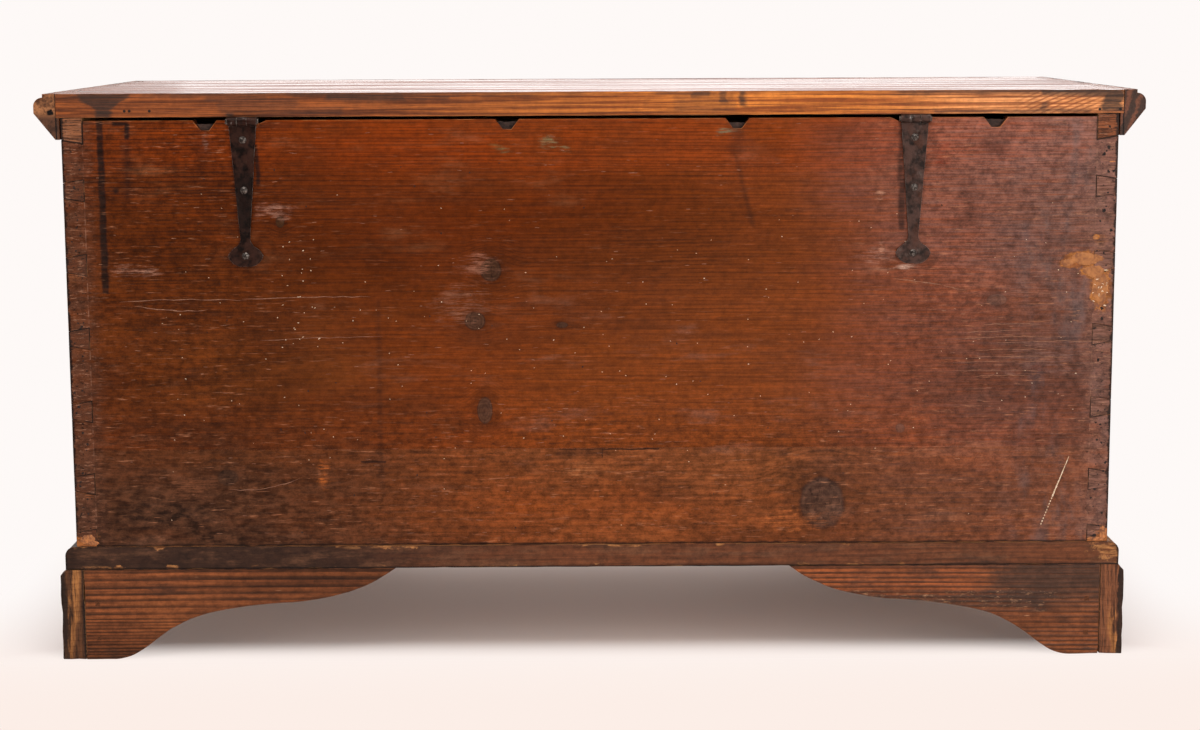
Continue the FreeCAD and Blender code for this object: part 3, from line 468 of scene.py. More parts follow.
def back_marks(f, low, high):
    """The marks of the back between two heights: drips, rust round the hinges, old handling and filler, with
    painted shade darkening one end, and at the other a faded varnish with painted sheen."""
    def near(places):
        return [one for one in places if low < one[0][1] + one[1][1] * 2 and one[0][1] - one[1][1] * 2 < high]

    x = f.wander(f.x, f.cloud(70, 70, 3), 0.004)
    z = f.wander(f.z, f.cloud(90, 90, 3), 0.004)
    flat = f.join(x, z)
    broken = f.grained(60, 150, 4, 0.65)
    bristle = f.rise(f.grained(26, 900, 4, 0.66), 0.38, 0.62, 0.45, 1)
    lined = f.rise(f.grained(45, 620, 5, 0.75), 0.46, 0.58, 0.05, 1)
    f.spread(f.grained(3, 9, 4, 0.6), 0.5, 0.72, 0.55, f.blend(f.streak, (156, 76, 25), (112, 49, 15)))
    smoky = f.grained(3.5, 7, 5, 0.62)
    f.spread(smoky, 0.5, 0.74, 0.6, (58, 32, 18))
    scruff, scruffy = f.grained(30, 230, 5, 0.72), handled(f, 0.3, 0.95)
    f.dye(f.times(f.rise(scruff, 0.52, 0.68, 0, 0.55), scruffy), 1.6, 1.5, 1.45)
    f.coat((52, 27, 14), f.rise(scruff, 0.3, 0.47, 0.6, 0), scruffy)
    f.dye(f.rise(f.wander(f.z, smoky, 0.06), 0.556, 0.596, 0, 0.85), 1.42, 1.22, 0.84)
    soot = f.times(f.fall(z, 0.14, 0.34), f.rise(x, 0, 0.5))
    soot = f.times(soot, f.rise(f.grained(5, 22, 4), 0.25, 0.6, 0.45, 1))
    f.coat(f.blend(f.rise(broken, 0.36, 0.62), (36, 23, 16), (94, 58, 38)), soot)
    # Painted shade: the colour darkens towards the chest's left end, away from the light
    f.dye(f.rise(f.wander(f.x, f.grained(2, 5, 4, 0.6), 0.9), 0, 0.62, 0, 0.8), 0.52, 0.56, 0.6)
    wash = f.grained(7, 26, 5, 0.66)
    f.spread(wash, 0.56, 0.78, 0.35, (146, 98, 72))
    # Painted sheen: a pale pinkish grey laid over one end, where the varnish has also faded
    faded_and_sheen = f.fall(f.wander(f.x, f.grained(3, 6, 4, 0.6), 0.35), -0.56, -0.2)
    f.coat((134, 96, 85), faded_and_sheen, f.rise(f.z, 0.24, 0.6, 0.4, 1), bristle, 0.66)
    smudge = f.rise(f.cloud(26, 10, 4, 0.6), 0.5, 0.68, 0, 0.55)
    f.coat((92, 76, 73), smudge, f.fall(f.x, -0.52, -0.46))
    for middle, half, left in near(uneven_places):
        f.dye(f.blot(flat, middle, half, smoky, 2.4, 0.3, 1.3), *left)
    for middle, half, tint, strength in near(scuffs):
        f.coat(tint, f.blot(flat, middle, half, broken, 2.6, 0.2, 1.15), lined, strength)
    dirt = 0
    for middle, half, soft, strength, lean in near(drips):
        aslant = f.reckon("MULTIPLY_ADD", z, -lean, x) if lean else x
        stained = f.patch(aslant, z, (middle[0] - lean * middle[1], middle[1]), half, soft)
        dirt = f.most(f.times(stained, strength), dirt)
    f.coat(tar, dirt, f.rise(f.streak, 0.3, 0.6, 0.8, 1))
    fleck = f.rise(f.grained(40, 460, 2, 0.7), 0.6, 0.78, 0, 0.55)
    f.coat((166, 110, 78), fleck, handled(f, 0.35, 1))
    f.spread(f.grained(55, 560, 2, 0.7), 0.66, 0.78, 0.7, (34, 18, 10))
    margin = f.rise(f.size(x), joint_x - 0.022, joint_x + 0.012)
    dusty_end = f.blend(at_right(f), (108, 74, 63), (86, 52, 36))
    dirty = f.times(margin, f.rise(f.grained(22, 80, 4), 0.3, 0.62, 0.25, 0.8))
    f.coat(f.blend(f.rise(broken, 0.3, 0.5, 0.4, 1), grime, dusty_end), dirty)
    worn_corner(f, margin)
    from_joint = f.off(f.size(f.x), joint_x)
    scribed = f.times(f.fall(from_joint, 0.0003, 0.0009), f.rise(broken, 0.4, 0.62, 0, 0.45))
    f.coat((136, 98, 78), scribed)
    at_top = f.rise(f.z, TOP_PIN - 0.0025, TOP_PIN - 0.0005)
    top_gap = f.times(f.fall(from_joint, 0.001, 0.0018), at_top, 0.9)
    foot_gap = f.times(f.fall(z, 0.1358, 0.1384), 0.85)
    f.coat(tar, f.most(top_gap, foot_gap))
    if high > dabs[0][0][1]:
        lumpy = f.cloud(120, 120, 5, 0.7)
        trowelled = f.blend(f.rise(broken, 0.35, 0.65), (168, 104, 48), (116, 66, 34))
        for middle, half in dabs:
            dab = f.blot(flat, middle, half, lumpy, 1.5, 0.85, 1.1)
            f.coat(trowelled, dab, f.rise(f.streak, 0.3, 0.5, 0.65, 0.95))
    f.rough = f.wander(f.rough, wash, 0.3)


def upper_lines(f):
    """The rings show best near the top of the back."""
    return f.times(f.rise(f.z, 0.34, 0.56, 0.42, 0.95), handled(f, 0.66, 1))


back_seam = ("Z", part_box("back_board_lower")[1].z)
BACK = dict(raw=lambda f: f.facing("Y", -1), sawn=((88, 46, 26), (54, 29, 17)), Specular_IOR_Level=0.08,
            streaky=0.4, gritty=lambda f: handled(f, 0.26, 0.5), joints=joint_dirt)
back_upper_pine = pine("back_upper_pine", "X", (back_y, -1.2), 0.0041, (116, 51, 13), (51, 21, 6), drift=0.02,
                       contrast=upper_lines, knots=back_knots, uneven=1.6,
                       marks=lambda f: back_marks(f, back_seam[1], 1), soft_wood=0.56, broken=0.35, **BACK)
back_lower_pine = pine("back_lower_pine", "X", (back_y - 0.12, -0.1), 0.0062, (119, 60, 25), (65, 32, 13),
                       contrast=0.6, knots=low_back_knots, marks=lambda f: back_marks(f, 0, back_seam[1]),
                       **BACK)
worn("back_board_upper", back_upper_pine, "case", seam=back_seam)
worn("back_board_lower", back_lower_pine, "case", seam=back_seam)


# Scars of the back: specks of limewash, slivers torn along the grain, scratches, worm holes at the joints, a
# patch of filler at one edge, splintered lower corners, and the wood left standing in the old notches of the
# top edge. They are thin shapes laid on the boards, or set into the notches.
def flake(shape, x, z, long, wide, lean, rise, sides=6):
    """A thin flake with an uneven outline and a raised middle."""
    rim = []
    for turn in range(sides):
        angle = math.tau * turn / sides
        a, b = math.cos(angle) * long / 2, math.sin(angle) * wide / 2
        a, b = a * chance.uniform(0.65, 1.15), b * chance.uniform(0.65, 1.15)
        rim.append(shape.verts.new((x + a * math.cos(lean) - b * math.sin(lean), back_y,
                                    z + a * math.sin(lean) + b * math.cos(lean))))
    top = shape.verts.new((x, back_y + rise, z))
    for one, two in zip(rim, rim[1:] + rim[:1]):
        shape.faces.new((top, one, two))
    shape.faces.new(rim[::-1])


def scratch(shape, start, end, sag, wide, rise, parts=14):
    """A long scratch, as a low ridge of torn fibres that swells and thins along its run."""
    rows = []
    for part in range(parts + 1):
        share = part / parts
        x = start[0] + (end[0] - start[0]) * share
        z = start[1] + (end[1] - start[1]) * share + sag * 4 * share * (1 - share)
        z += chance.uniform(-0.0006, 0.0006)
        half = wide / 2 * chance.uniform(0.4, 1.2) * min(1, 6 * share + 0.2, 6 * (1 - share) + 0.2)
        slope = Vector((end[0] - start[0], end[1] - start[1])).normalized().orthogonal() * half
        rows.append([shape.verts.new((x + slope.x * side, back_y + out, z + slope.y * side))
                     for side, out in ((-1, 0), (0, rise), (1, 0))])
    for one, two in zip(rows, rows[1:]):
        for a, b, c, d in zip(one, two, two[1:], one[1:]):
            shape.faces.new((a, b, c, d))
        shape.faces.new((one[2], two[2], two[0], one[0]))


def skin(shape, rings):
    """Faces from each ring of points to the next, and across the first and the last."""
    for one, two in zip(rings, rings[1:]):
        for turn in range(len(one)):
            after = (turn + 1) % len(one)
            shape.faces.new((one[turn], one[after], two[after], two[turn]))
    shape.faces.new(rings[-1])
    shape.faces.new(rings[0][::-1])


PIT_SIDES = 9


def pit(shape, x, z, radius):
    """A small round hole with a crumbled rim."""
    rings = []
    crumbled = [radius * chance.uniform(0.6, 1.3) for turn in range(PIT_SIDES)]
    for share, out in ((1.25, 0), (1, 0.00022), (0.75, 0.00002)):
        ring = []
        for turn, reach in enumerate(crumbled):
            angle = math.tau * turn / PIT_SIDES
            ring.append(shape.verts.new((x + share * reach * math.cos(angle), back_y + out,
                                         z + share * reach * math.sin(angle))))
        rings.append(ring)
    skin(shape, rings)


# Size and pace of the waves in a patch's rim
RIM_WAVES = (0.25, 1.6), (0.16, 6), (0.1, 17)


def lump(shape, middle, half, rise, sides=110):
    """A trowelled patch: rings that shrink to its middle and rise unevenly."""
    rings = []
    for share, up in ((1, 0), (0.9, 0.7), (0.55, 1), (0.2, 0.9)):
        ring = []
        for turn in range(sides):
            angle = math.tau * turn / sides
            around = Vector((math.cos(angle), math.sin(angle), middle[0] * 90))
            edge = share * (1 + sum(size * noise.noise(around * pace) for size, pace in RIM_WAVES))
            x, z = middle[0] + half[0] * edge * math.cos(angle), middle[1] + half[1] * edge * math.sin(angle)
            out = rise * up * (0.8 + 0.5 * noise.noise((x * 150, z * 150, 0)))
            ring.append(shape.verts.new((x, back_y + out, z)))
        rings.append(ring)
    skin(shape, rings)


def plain_finish(name, light, dark, scale, gloss, **fixed):
    """A small piece's finish: two tones mixed by haze."""
    f = Finish(name, **fixed)
    haze = f.cloud(scale, scale, 3, 0.6)
    f.colour = f.blend(f.rise(haze, 0.3, 0.7), light, dark)
    f.rough = f.rise(haze, 0.2, 0.8, gloss, gloss + 0.2)
    return f.surface(haze, 0.0003)


chance = random.Random(23)
back_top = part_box("back_board_upper")[1].z
specks, slivers, holes, filler, splinters, remains = (bmesh.new() for kind in range(6))
for count in range(170):
    flake(specks, chance.uniform(-0.56, 0.5), chance.triangular(0.15, 0.61, 0.33),
          chance.uniform(0.0008, 0.002), chance.uniform(0.0007, 0.0014), chance.uniform(-0.6, 0.6), 0.00022)
for count in range(26):
    flake(specks, chance.uniform(0.312, 0.358), chance.uniform(0.365, 0.492), chance.uniform(0.001, 0.0026),
          chance.uniform(0.0008, 0.0016), chance.uniform(-0.8, 0.8), 0.0003)
for count in range(16):
    flake(specks, chance.gauss(-0.583, 0.006), chance.gauss(0.43, 0.01), chance.uniform(0.0022, 0.0062),
          chance.uniform(0.001, 0.0022), chance.uniform(-1.2, 0.6), 0.0009)
for count in range(330):
    flake(slivers, chance.uniform(-0.57, 0.57), chance.uniform(0.14, 0.625), chance.uniform(0.002, 0.01),
          chance.uniform(0.0003, 0.0009), chance.gauss(0, 0.06), 0.0002)
# The pale drip low at one end runs down in specks, which thin out after its head
DRIP_SPECKS, DRIP_HEAD, DRIP_LEAN = 24, 14, -1.2
for count in range(DRIP_SPECKS):
    share = count / DRIP_SPECKS
    size = (0.0054, 0.0011 + 0.00009 * count) if count < DRIP_HEAD else (0.0026, 0.0017)
    flake(specks, -0.552 + 0.031 * share, 0.234 - 0.081 * share, *size, DRIP_LEAN, 0.0004)
# Each long scratch: where it starts and ends, how far it sags, how wide it is and how far it stands up
for run in (((0.54, 0.4215), (0.395, 0.4225), 0.002, 0.0008, 0.00025),
            ((0.4, 0.424), (0.253, 0.4262), 0.001, 0.0008, 0.00025),
            ((0.52, 0.417), (0.44, 0.412), -0.003, 0.001, 0.00025),
            ((0.42, 0.202), (0.338, 0.215), -0.005, 0.0009, 0.00025),
            ((0.38, 0.376), (0.24, 0.38), 0.001, 0.0007, 0.0002),
            ((-0.345, 0.444), (-0.43, 0.43), 0.002, 0.0009, 0.0002)):
    scratch(slivers, *run)
for row in range(9):
    z = 0.33 + 0.0075 * row + chance.uniform(-0.002, 0.002)
    x = chance.uniform(-0.46, -0.38)
    end = (x - chance.uniform(0.06, 0.14), z + chance.uniform(-0.002, 0.003))
    scratch(slivers, (x, z), end, 0.001, 0.0007, 0.0002)
for end in (1, -1):
    for count in range(34):
        pit(holes, end * chance.uniform(joint_x + 0.003, 0.597), chance.uniform(0.15, 0.6),
            chance.uniform(0.0006, 0.0013))
for count in range(40):
    pit(holes, chance.uniform(-0.55, 0.55), chance.uniform(0.14, 0.6), chance.uniform(0.0005, 0.0009))
for middle, half in dabs:
    lump(filler, middle, (half[0] * 0.72, half[1] * 0.72), 0.0004)
# The splintered lower corners of the case: middle and half size
for middle, half in (((0.587, 0.144), (0.0085, 0.006)), ((0.58, 0.1395), (0.006, 0.0026)),
                     ((-0.594, 0.1455), (0.0036, 0.0085)), ((-0.586, 0.1385), (0.0085, 0.0024))):
    lump(splinters, middle, half, 0.0009, 40)
# The larger worm holes at one end: place and radius
for large_hole in ((-0.5842, 0.1412, 0.0024), (-0.581, 0.1398, 0.0016), (-0.5889, 0.5929, 0.0019),
                   (-0.5841, 0.5854, 0.0018), (-0.5897, 0.5656, 0.0014), (-0.5856, 0.5213, 0.002),
                   (-0.5942, 0.4988, 0.0018), (-0.586, 0.4089, 0.0016), (-0.5863, 0.3973, 0.0015),
                   (-0.5893, 0.6169, 0.0013)):
    pit(holes, *large_hole)
flake(splinters, -0.5935, 0.577, 0.0096, 0.0017, 0, 0.0006, 7)
# What is left standing in each old notch of the top edge: its middle, and how far its top is below that edge
NOTCH_HALF, NOTCH_FLOOR_HALF, NOTCH_DEEP, REMAINS_IN, REMAINS_THICK = 0.0135, 0.0049, 0.0115, 0.006, 0.01
for middle, drop in ((0.437, 0.0046), (0.0945, 0.003), (-0.1668, 0.0052), (-0.46, 0.0026)):
    reach = NOTCH_HALF - (NOTCH_HALF - NOTCH_FLOOR_HALF) * drop / NOTCH_DEEP
    floor_z = back_top - NOTCH_DEEP
    outline = [(-reach, back_top - drop), (-NOTCH_FLOOR_HALF, floor_z), (NOTCH_FLOOR_HALF, floor_z)]
    for step in range(6):
        outline.append((reach * (1 - step / 3), back_top - drop + chance.uniform(-0.0007, 0.0007)))
    skin(remains, [[remains.verts.new((middle + x, y, z)) for x, z in outline]
                   for y in (back_y - REMAINS_IN, back_y - REMAINS_IN - REMAINS_THICK)])
# Each kind of scar: its piece, its shape and its finish, with a light and a dark tone, fineness and roughness
for name, shape, *finish in (
        ("limewash_specks", specks, "limewash", (222, 198, 170), (186, 152, 118), 300, 0.6),
        ("torn_slivers", slivers, "torn_pine", (146, 98, 68), (104, 62, 40), 200, 0.55),
        # The worm holes are shallow caps, painted dark with dirt and the painted shade of the holes
        ("worm_holes", holes, "hole_dirt_and_shade", (40, 24, 17), (16, 10, 8), 400, 0.8),
        ("filler_patch", filler, "old_filler", (168, 104, 48), (122, 70, 35), 140, 0.6),
        ("splintered_corners", splinters, "split_pine", (190, 116, 58), (106, 60, 33), 260, 0.6),
        # The wood in the notches is painted dark: its own colour with the painted shade under the lid
        ("notch_remains", remains, "notch_pine", (70, 44, 31), (36, 23, 17), 160, 0.7)):
    bmesh.ops.recalc_face_normals(shape, faces=shape.faces)
    show(name, shape, plain_finish(*finish), "case")


# Front wall: two boards like the back's, joined higher up and kept cleaner, with tails on both ends. It was
# finished with the same stain and varnish, and its inner face is bare.
def front_marks(f):
    """Darker towards the bottom, with rubbed patches in the varnish."""
    wash = f.grained(4, 16, 5, 0.62)
    f.spread(wash, 0.52, 0.76, 0.6, (60, 31, 17))
    f.spread(f.grained(3, 11, 4, 0.6), 0.52, 0.74, 0.5, f.blend(f.streak, (164, 84, 32), (126, 58, 20)))
    f.coat(grime, f.fall(f.wander(f.z, wash, 0.1), 0.14, 0.24), 0.55)
    f.spread(f.grained(34, 420, 2, 0.7), 0.72, 0.8, 0.55, (186, 128, 88))
    f.rough = f.wander(f.rough, wash, 0.25)


front_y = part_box("front_board_upper")[0].y
front_knots = [((-0.21, 0.47), (0.011, 0.012)), ((0.33, 0.4), (0.013, 0.011))]
low_front_knots = [((0.08, 0.24), (0.015, 0.017)), ((-0.44, 0.2), (0.01, 0.01))]
FRONT = dict(marks=front_marks, raw=lambda f: f.facing("Y", 1), joints=joint_dirt)
front_upper_pine = pine("front_upper_pine", "X", (front_y, 1.9), 0.0042, (134, 64, 25), (74, 31, 11),
                        knots=front_knots, **FRONT)
front_lower_pine = pine("front_lower_pine", "X", (front_y + 0.12, -0.1), 0.0062, (130, 64, 28), (76, 34, 13),
                        drift=0.035, contrast=0.7, knots=low_front_knots, **FRONT)
front_seam = ("Z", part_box("front_board_lower")[1].z)
worn("front_board_upper", front_upper_pine, "case", seam=front_seam)
worn("front_board_lower", front_lower_pine, "case", seam=front_seam)


# Side walls: two boards each, with the dovetail pins whose end grain shows on the front and the back. The
# pins took the stain dark and dull, and some were planed off a little rough.
def pin_ends(f):
    """The pins are grimy low down and chalky at one end; the top ones stayed warm and light."""
    fibre = f.rise(f.cloud(50, 480, 4, 0.7), 0.38, 0.62)
    dirt = f.cloud(60, 160, 4, 0.6)
    f.coat(f.blend(fibre, (140, 98, 84), (90, 58, 46)), at_right(f, 0.7, 0))
    f.spread(dirt, 0.4, 0.7, 0.6, grime)
    warm = f.blend(at_right(f), f.blend(fibre, (132, 71, 36), (62, 32, 17)),
                   f.blend(fibre, (142, 88, 56), (68, 39, 24)))
    f.coat(warm, f.rise(f.z, TOP_PIN - 0.0055, TOP_PIN - 0.0005), 0.9)
    worn_corner(f, 1)
    raw_wood = f.blend(f.rise(dirt, 0.34, 0.6), (160, 94, 47), (62, 37, 24))
    inward = f.less(case_end, f.size(f.x))
    torn = f.reckon("MULTIPLY_ADD", inward, 0.45, f.wander(f.z, dirt, 0.03))
    f.coat(raw_wood, f.fall(torn, 0.146, 0.151))


for side, way in (("right", 1), ("left", -1)):
    side_pine = dict(marks=front_marks, end_marks=pin_ends, joints=joint_dirt,
                     raw=lambda f: f.facing("X", -way), sawn=((92, 50, 28), (58, 31, 18)))
    upper_pine = pine(f"{side}_upper_pine", "Y", (0.6 * way, -1 - 0.2 * way), 0.0041, (132, 63, 25),
                      (74, 31, 12), knots=[((0.06 * way, 0.52), (0.011, 0.012))], **side_pine)
    lower_pine = pine(f"{side}_lower_pine", "Y", (0.5 * way, -0.1), 0.006, (128, 62, 27), (74, 33, 13),
                      drift=0.035, contrast=0.7, knots=[((-0.11 * way, 0.29), (0.014, 0.013))], **side_pine)
    side_seam = ("Z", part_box(f"{side}_side_lower")[1].z)
    worn(f"{side}_side_upper", upper_pine, "case", seam=side_seam)
    worn(f"{side}_side_lower", lower_pine, "case", seam=side_seam)


# Bottom: two boards nailed up into the walls, whose edges stand past the case and are rounded as a base
# moulding. Those edges are chipped to pale wood here and there, and grimy along the back.
strip_low, strip_high = (corner.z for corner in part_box("bottom_board_rear"))
strip_middle = (strip_low + strip_high) / 2
strip_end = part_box("bottom_board_rear")[1].x
# Middle and half length of each chip along the back, and the edge of the strip that it is on
strip_chips = [(0.503, 0.01, strip_high), (0.552, 0.009, strip_low), (0.489, 0.01, strip_low),
               (0.24, 0.024, strip_high), (0.211, 0.008, strip_high), (-0.148, 0.006, strip_high),
               (-0.245, 0.009, strip_low), (-0.36, 0.005, strip_low)]
CHIP_HALF_HEIGHT = 0.0052


def at_back(f):
    """1 on what stands at the back of the chest."""
    return f.rise(f.y, 0.2, 0.25)


def chipped_strip(f):
    """Grime, with pale chips along both edges of the strip and a split at one end."""
    mottle = f.grained(30, 120, 4, 0.6)
    soot = f.rise(f.wander(f.x, f.grained(6, 20, 4), 0.35), 0.02, 0.36, 0.1, 0.9)
    f.coat(f.blend(mottle, (20, 13, 10), (54, 35, 25)), soot)
    f.spread(f.grained(7, 30, 4, 0.6), 0.48, 0.7, 0.75, (58, 38, 27))
    f.spread(f.grained(16, 70, 5, 0.7), 0.48, 0.66, 0.6, (98, 64, 43))
    near = f.rise(f.wander(f.off(f.z, strip_middle), mottle, 0.008), 0.0085, 0.0125)
    torn = f.rise(f.cloud(16, 30, 5, 0.68), 0.57, 0.62)
    crumbs = f.cloud(130, 170, 5, 0.72)
    split = f.blot(f.flat, (-0.603, strip_middle + 0.004), (0.024, 0.014), crumbs, 3.2, 0.62, 0.95)
    chips = f.most(f.times(near, torn), f.times(split, 0.85))
    for along, half, edge in strip_chips:
        chip = f.blot(f.flat, (along, edge), (half, CHIP_HALF_HEIGHT), crumbs, 2.6, 0.6, 0.9)
        chips = f.most(chips, f.times(chip, at_back(f)))
    fibres = f.rise(f.cloud(70, 330, 4, 0.7), 0.36, 0.62)
    f.coat(f.blend(fibres, (182, 124, 74), (92, 52, 29)), chips, 0.85)
    tip = f.wander(f.size(f.x), crumbs, 0.01)
    f.coat(tar, f.rise(tip, strip_end - 0.0042, strip_end - 0.0018, 0, 0.85))
    f.coat(tar, f.fall(f.z, strip_low + 0.0006, strip_low + 0.0024), 0.85)
    f.rough = f.plus(f.rough, f.times(chips, 0.3))


ROOM_HALF, ROOM_INSET = 0.577, 0.021


def bare_bottom(f):
    """The part of the bottom's upper side that lies inside the case, and its whole under side."""
    half = (ROOM_HALF, (back_y - front_y) / 2 - ROOM_INSET)
    room = f.patch(f.x, f.y, (0, (back_y + front_y) / 2), half, 0.001)
    return f.most(f.times(f.facing("Z", 1), room), f.facing("Z", -1))


for part, pith in (("rear", (0.12, -0.1)), ("front", (-0.15, 0.42))):
    bottom_pine = pine(f"bottom_{part}_pine", "X", pith, 0.0048, (110, 61, 34), (70, 38, 21), gloss=0.5,
                       marks=chipped_strip, raw=bare_bottom, pale=(92, 56, 33))
    worn(f"bottom_board_{part}", bottom_pine, "case", edge=0.0012, rub=1.1, step=0.012,
         seam=("Y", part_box("bottom_board_rear")[0].y))


# Bracket feet: two scalloped brackets to each foot, sawn from coarse grained pine. The front corners are
# mitred; at the back the long bracket butts against the side one, whose end grain shows.
def foot_marks(f):
    """Bold ribs of grain, scuffs at the toes and along the scallop."""
    f.spread(f.grained(5, 18, 4, 0.6), 0.5, 0.72, 0.5, f.blend(f.line, (156, 88, 46), (96, 53, 28)))
    soot = f.grained(8, 26, 5, 0.62)
    f.spread(soot, 0.55, 0.72, 0.8, (56, 35, 25))
    scuff = f.times(f.fall(f.z, 0.004, 0.035), f.cloud(40, 80, 4, 0.6))
    f.spread(scuff, 0.42, 0.62, 0.6, (64, 42, 30))
    hind = at_back(f)
    up = f.wander(f.z, soot, 0.05)
    astray = f.wander(f.x, f.grained(12, 60, 5, 0.7), 0.16)
    dingy = f.times(f.patch(astray, up, (-0.56, 0.088), (0.085, 0.026), 0.02), hind)
    f.coat((64, 42, 30), dingy, f.rise(f.streak, 0.3, 0.6, 0.5, 0.92))
    f.dye(f.times(f.patch(f.x, up, (-0.33, 0.094), (0.12, 0.024), 0.02), hind, 0.9), 1.6, 1.42, 1.25)
    low_band = f.times(f.patch(astray, up, (-0.41, 0.067), (0.12, 0.01), 0.007), hind)
    clumps = f.grained(120, 420, 5, 0.75)
    f.coat((60, 40, 30), low_band, f.rise(clumps, 0.3, 0.5, 0, 0.8))
    f.coat((176, 130, 94), low_band, f.rise(clumps, 0.55, 0.66, 0, 0.75))
    toe = f.times(f.fall(f.z, 0.012, 0.055), f.rise(f.x, 0.45, 0.56), hind, 0.85)
    shaded = f.times(f.rise(up, 0.06, 0.085), f.rise(f.x, 0, 0.2), f.fall(f.x, 0.34, 0.5), hind, 0.9)
    f.dye(f.most(toe, shaded), 0.55, 0.56, 0.58)
    f.spread(f.grained(40, 400, 2, 0.7), 0.7, 0.8, 0.55, (206, 160, 122))
    f.coat(tar, f.rise(f.z, strip_low - 0.0024, strip_low - 0.0006, 0, 0.85))
    f.rough = f.wander(f.rough, soot, 0.3)


# How far the middle of a side bracket's sawn end is from its outer face, and from the floor
POST_HALF, POST_MIDDLE = 0.014, 0.055


def post_ends(f):
    """The sawn end of a side bracket: a pale worn band between dark corners."""
    out = f.less(f.size(f.x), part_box("right_rear_bracket")[1].x - POST_HALF)
    fibre = f.rise(f.cloud(300, 28, 5, 0.72), 0.34, 0.66)
    dark_end = at_right(f)
    f.colour = f.blend(dark_end, f.blend(fibre, (130, 78, 49), (56, 33, 22)),
                       f.blend(fibre, (98, 60, 36), (42, 26, 17)))
    wavy = f.wander(out, f.cloud(50, 24, 4, 0.6), 0.024)
    wavy = f.reckon("MULTIPLY_ADD", f.less(f.z, POST_MIDDLE), 0.11, wavy)
    wavy = f.wander(wavy, fibre, 0.006)
    low_down = f.most(f.fall(f.wander(f.z, fibre, 0.03), 0.035, 0.06), dark_end)
    pale_band = f.times(f.fall(f.size(wavy), 0.0022, 0.0075), low_down, 0.85)
    f.coat(f.blend(fibre, (176, 116, 64), (100, 60, 32)), pale_band)
    edge_out = f.wander(out, f.cloud(60, 34, 4, 0.65), 0.014)
    f.coat((38, 26, 20), f.rise(edge_out, 0.0066, 0.0078, 0, 0.9))
    gap = f.fall(f.plus(out, POST_HALF), 0.0004, at_right(f, 0.0014, 0.005))
    f.coat(tar, gap, 0.92)


FOOT = dict(drift=0.012, contrast=1.25, relief=0.0009, marks=foot_marks)
for face, side, ring, finer in (("back", "right", 0.008, (0.05, 1.1)), ("back", "left", 0.0058, None),
                                ("front", "right", 0.007, None), ("front", "left", 0.0076, (0.06, 0.6))):
    inward, outer = (-1, back_y) if face == "back" else (1, front_y)
    foot_pine = pine(f"{face}_{side}_foot_pine", "X", (outer, 0.34 + 7 * ring), ring, (142, 78, 41),
                     (62, 35, 20), soft_wood=0.34, raw=lambda f: f.facing("Y", inward), gloss=0.4, uneven=0.8,
                     broken=0.25, closer=finer, pale=(106, 62, 35), **FOOT)
    worn(f"{face}_{side}_bracket", foot_pine, "case", edge=0.001, rub=1, step=0.012)
for side, way in (("right", 1), ("left", -1)):
    for end in ("rear", "front"):
        foot_pine = pine(f"{side}_{end}_foot_pine", "Y", (0.62 * way, 0.3), 0.0068, (140, 75, 37),
                         (66, 36, 19), raw=lambda f: f.facing("X", -way), gloss=0.42, end_marks=post_ends,
                         uneven=1.2, broken=0.3, pale=(116, 70, 40), **FOOT)
        worn(f"{side}_{end}_bracket", foot_pine, "case", edge=0.0018, rub=1.2, step=0.012)


# Glue blocks: square sticks of bare pine rubbed into the corner of each foot with hot glue. They are brown
# with the old glue and dust.
def dusty(f):
    f.spread(f.cloud(35, 35, 4, 0.6), 0.45, 0.7, 0.7, (84, 62, 46))
    f.rough = f.plus(f.rough, 0.2)


block_pine = pine("block_pine", "Z", (0.4, 0.3), 0.005, (150, 104, 64), (112, 72, 42), marks=dusty, gloss=0.6)
for foot in ("back_right", "back_left", "front_right", "front_left"):
    worn(f"{foot}_block", block_pine, "case", edge=0.0012, rub=1.2, step=0.015)


# Lid: two wide boards glued edge to edge, varnished on top until they shine. Their back edge, which the
# moulding leaves open, is paler and more orange, with dark drips; the under side is bare.

# Middle and half size of the dark patches on the lid's back edge, along the chest and up, and their strength
edge_stains = [
    ((0.255, 0.655), (0.045, 0.006), 0.8), ((0.19, 0.6555), (0.03, 0.0045), 0.6),
    ((0.41, 0.6572), (0.04, 0.0025), 0.6), ((-0.125, 0.656), (0.012, 0.005), 0.85),
    ((-0.15, 0.6525), (0.005, 0.009), 0.8), ((-0.174, 0.652), (0.004, 0.01), 0.85),
    ((-0.105, 0.6572), (0.03, 0.0028), 0.6), ((-0.555, 0.656), (0.045, 0.004), 0.95),
    ((-0.592, 0.647), (0.012, 0.012), 0.95), ((-0.48, 0.6345), (0.09, 0.0018), 0.7),
    ((-0.515, 0.638), (0.004, 0.006), 0.7), ((0.4085, 0.6345), (0.005, 0.003), 0.9),
    ((0.4, 0.654), (0.036, 0.004), 0.55), ((0.375, 0.644), (0.045, 0.008), 0.4),
    ((-0.13, 0.646), (0.034, 0.011), 0.35), ((0.33, 0.638), (0.05, 0.004), 0.35),
]
edge_nails = [(0.5273, 0.639), (0.5217, 0.639), (0.499, 0.6389), (-0.5777, 0.6363), (-0.601, 0.6362)]
STAIN_SOFT, EDGE_NAIL, FUNNEL = 0.003, (0.0017, 0.0017), 0.552


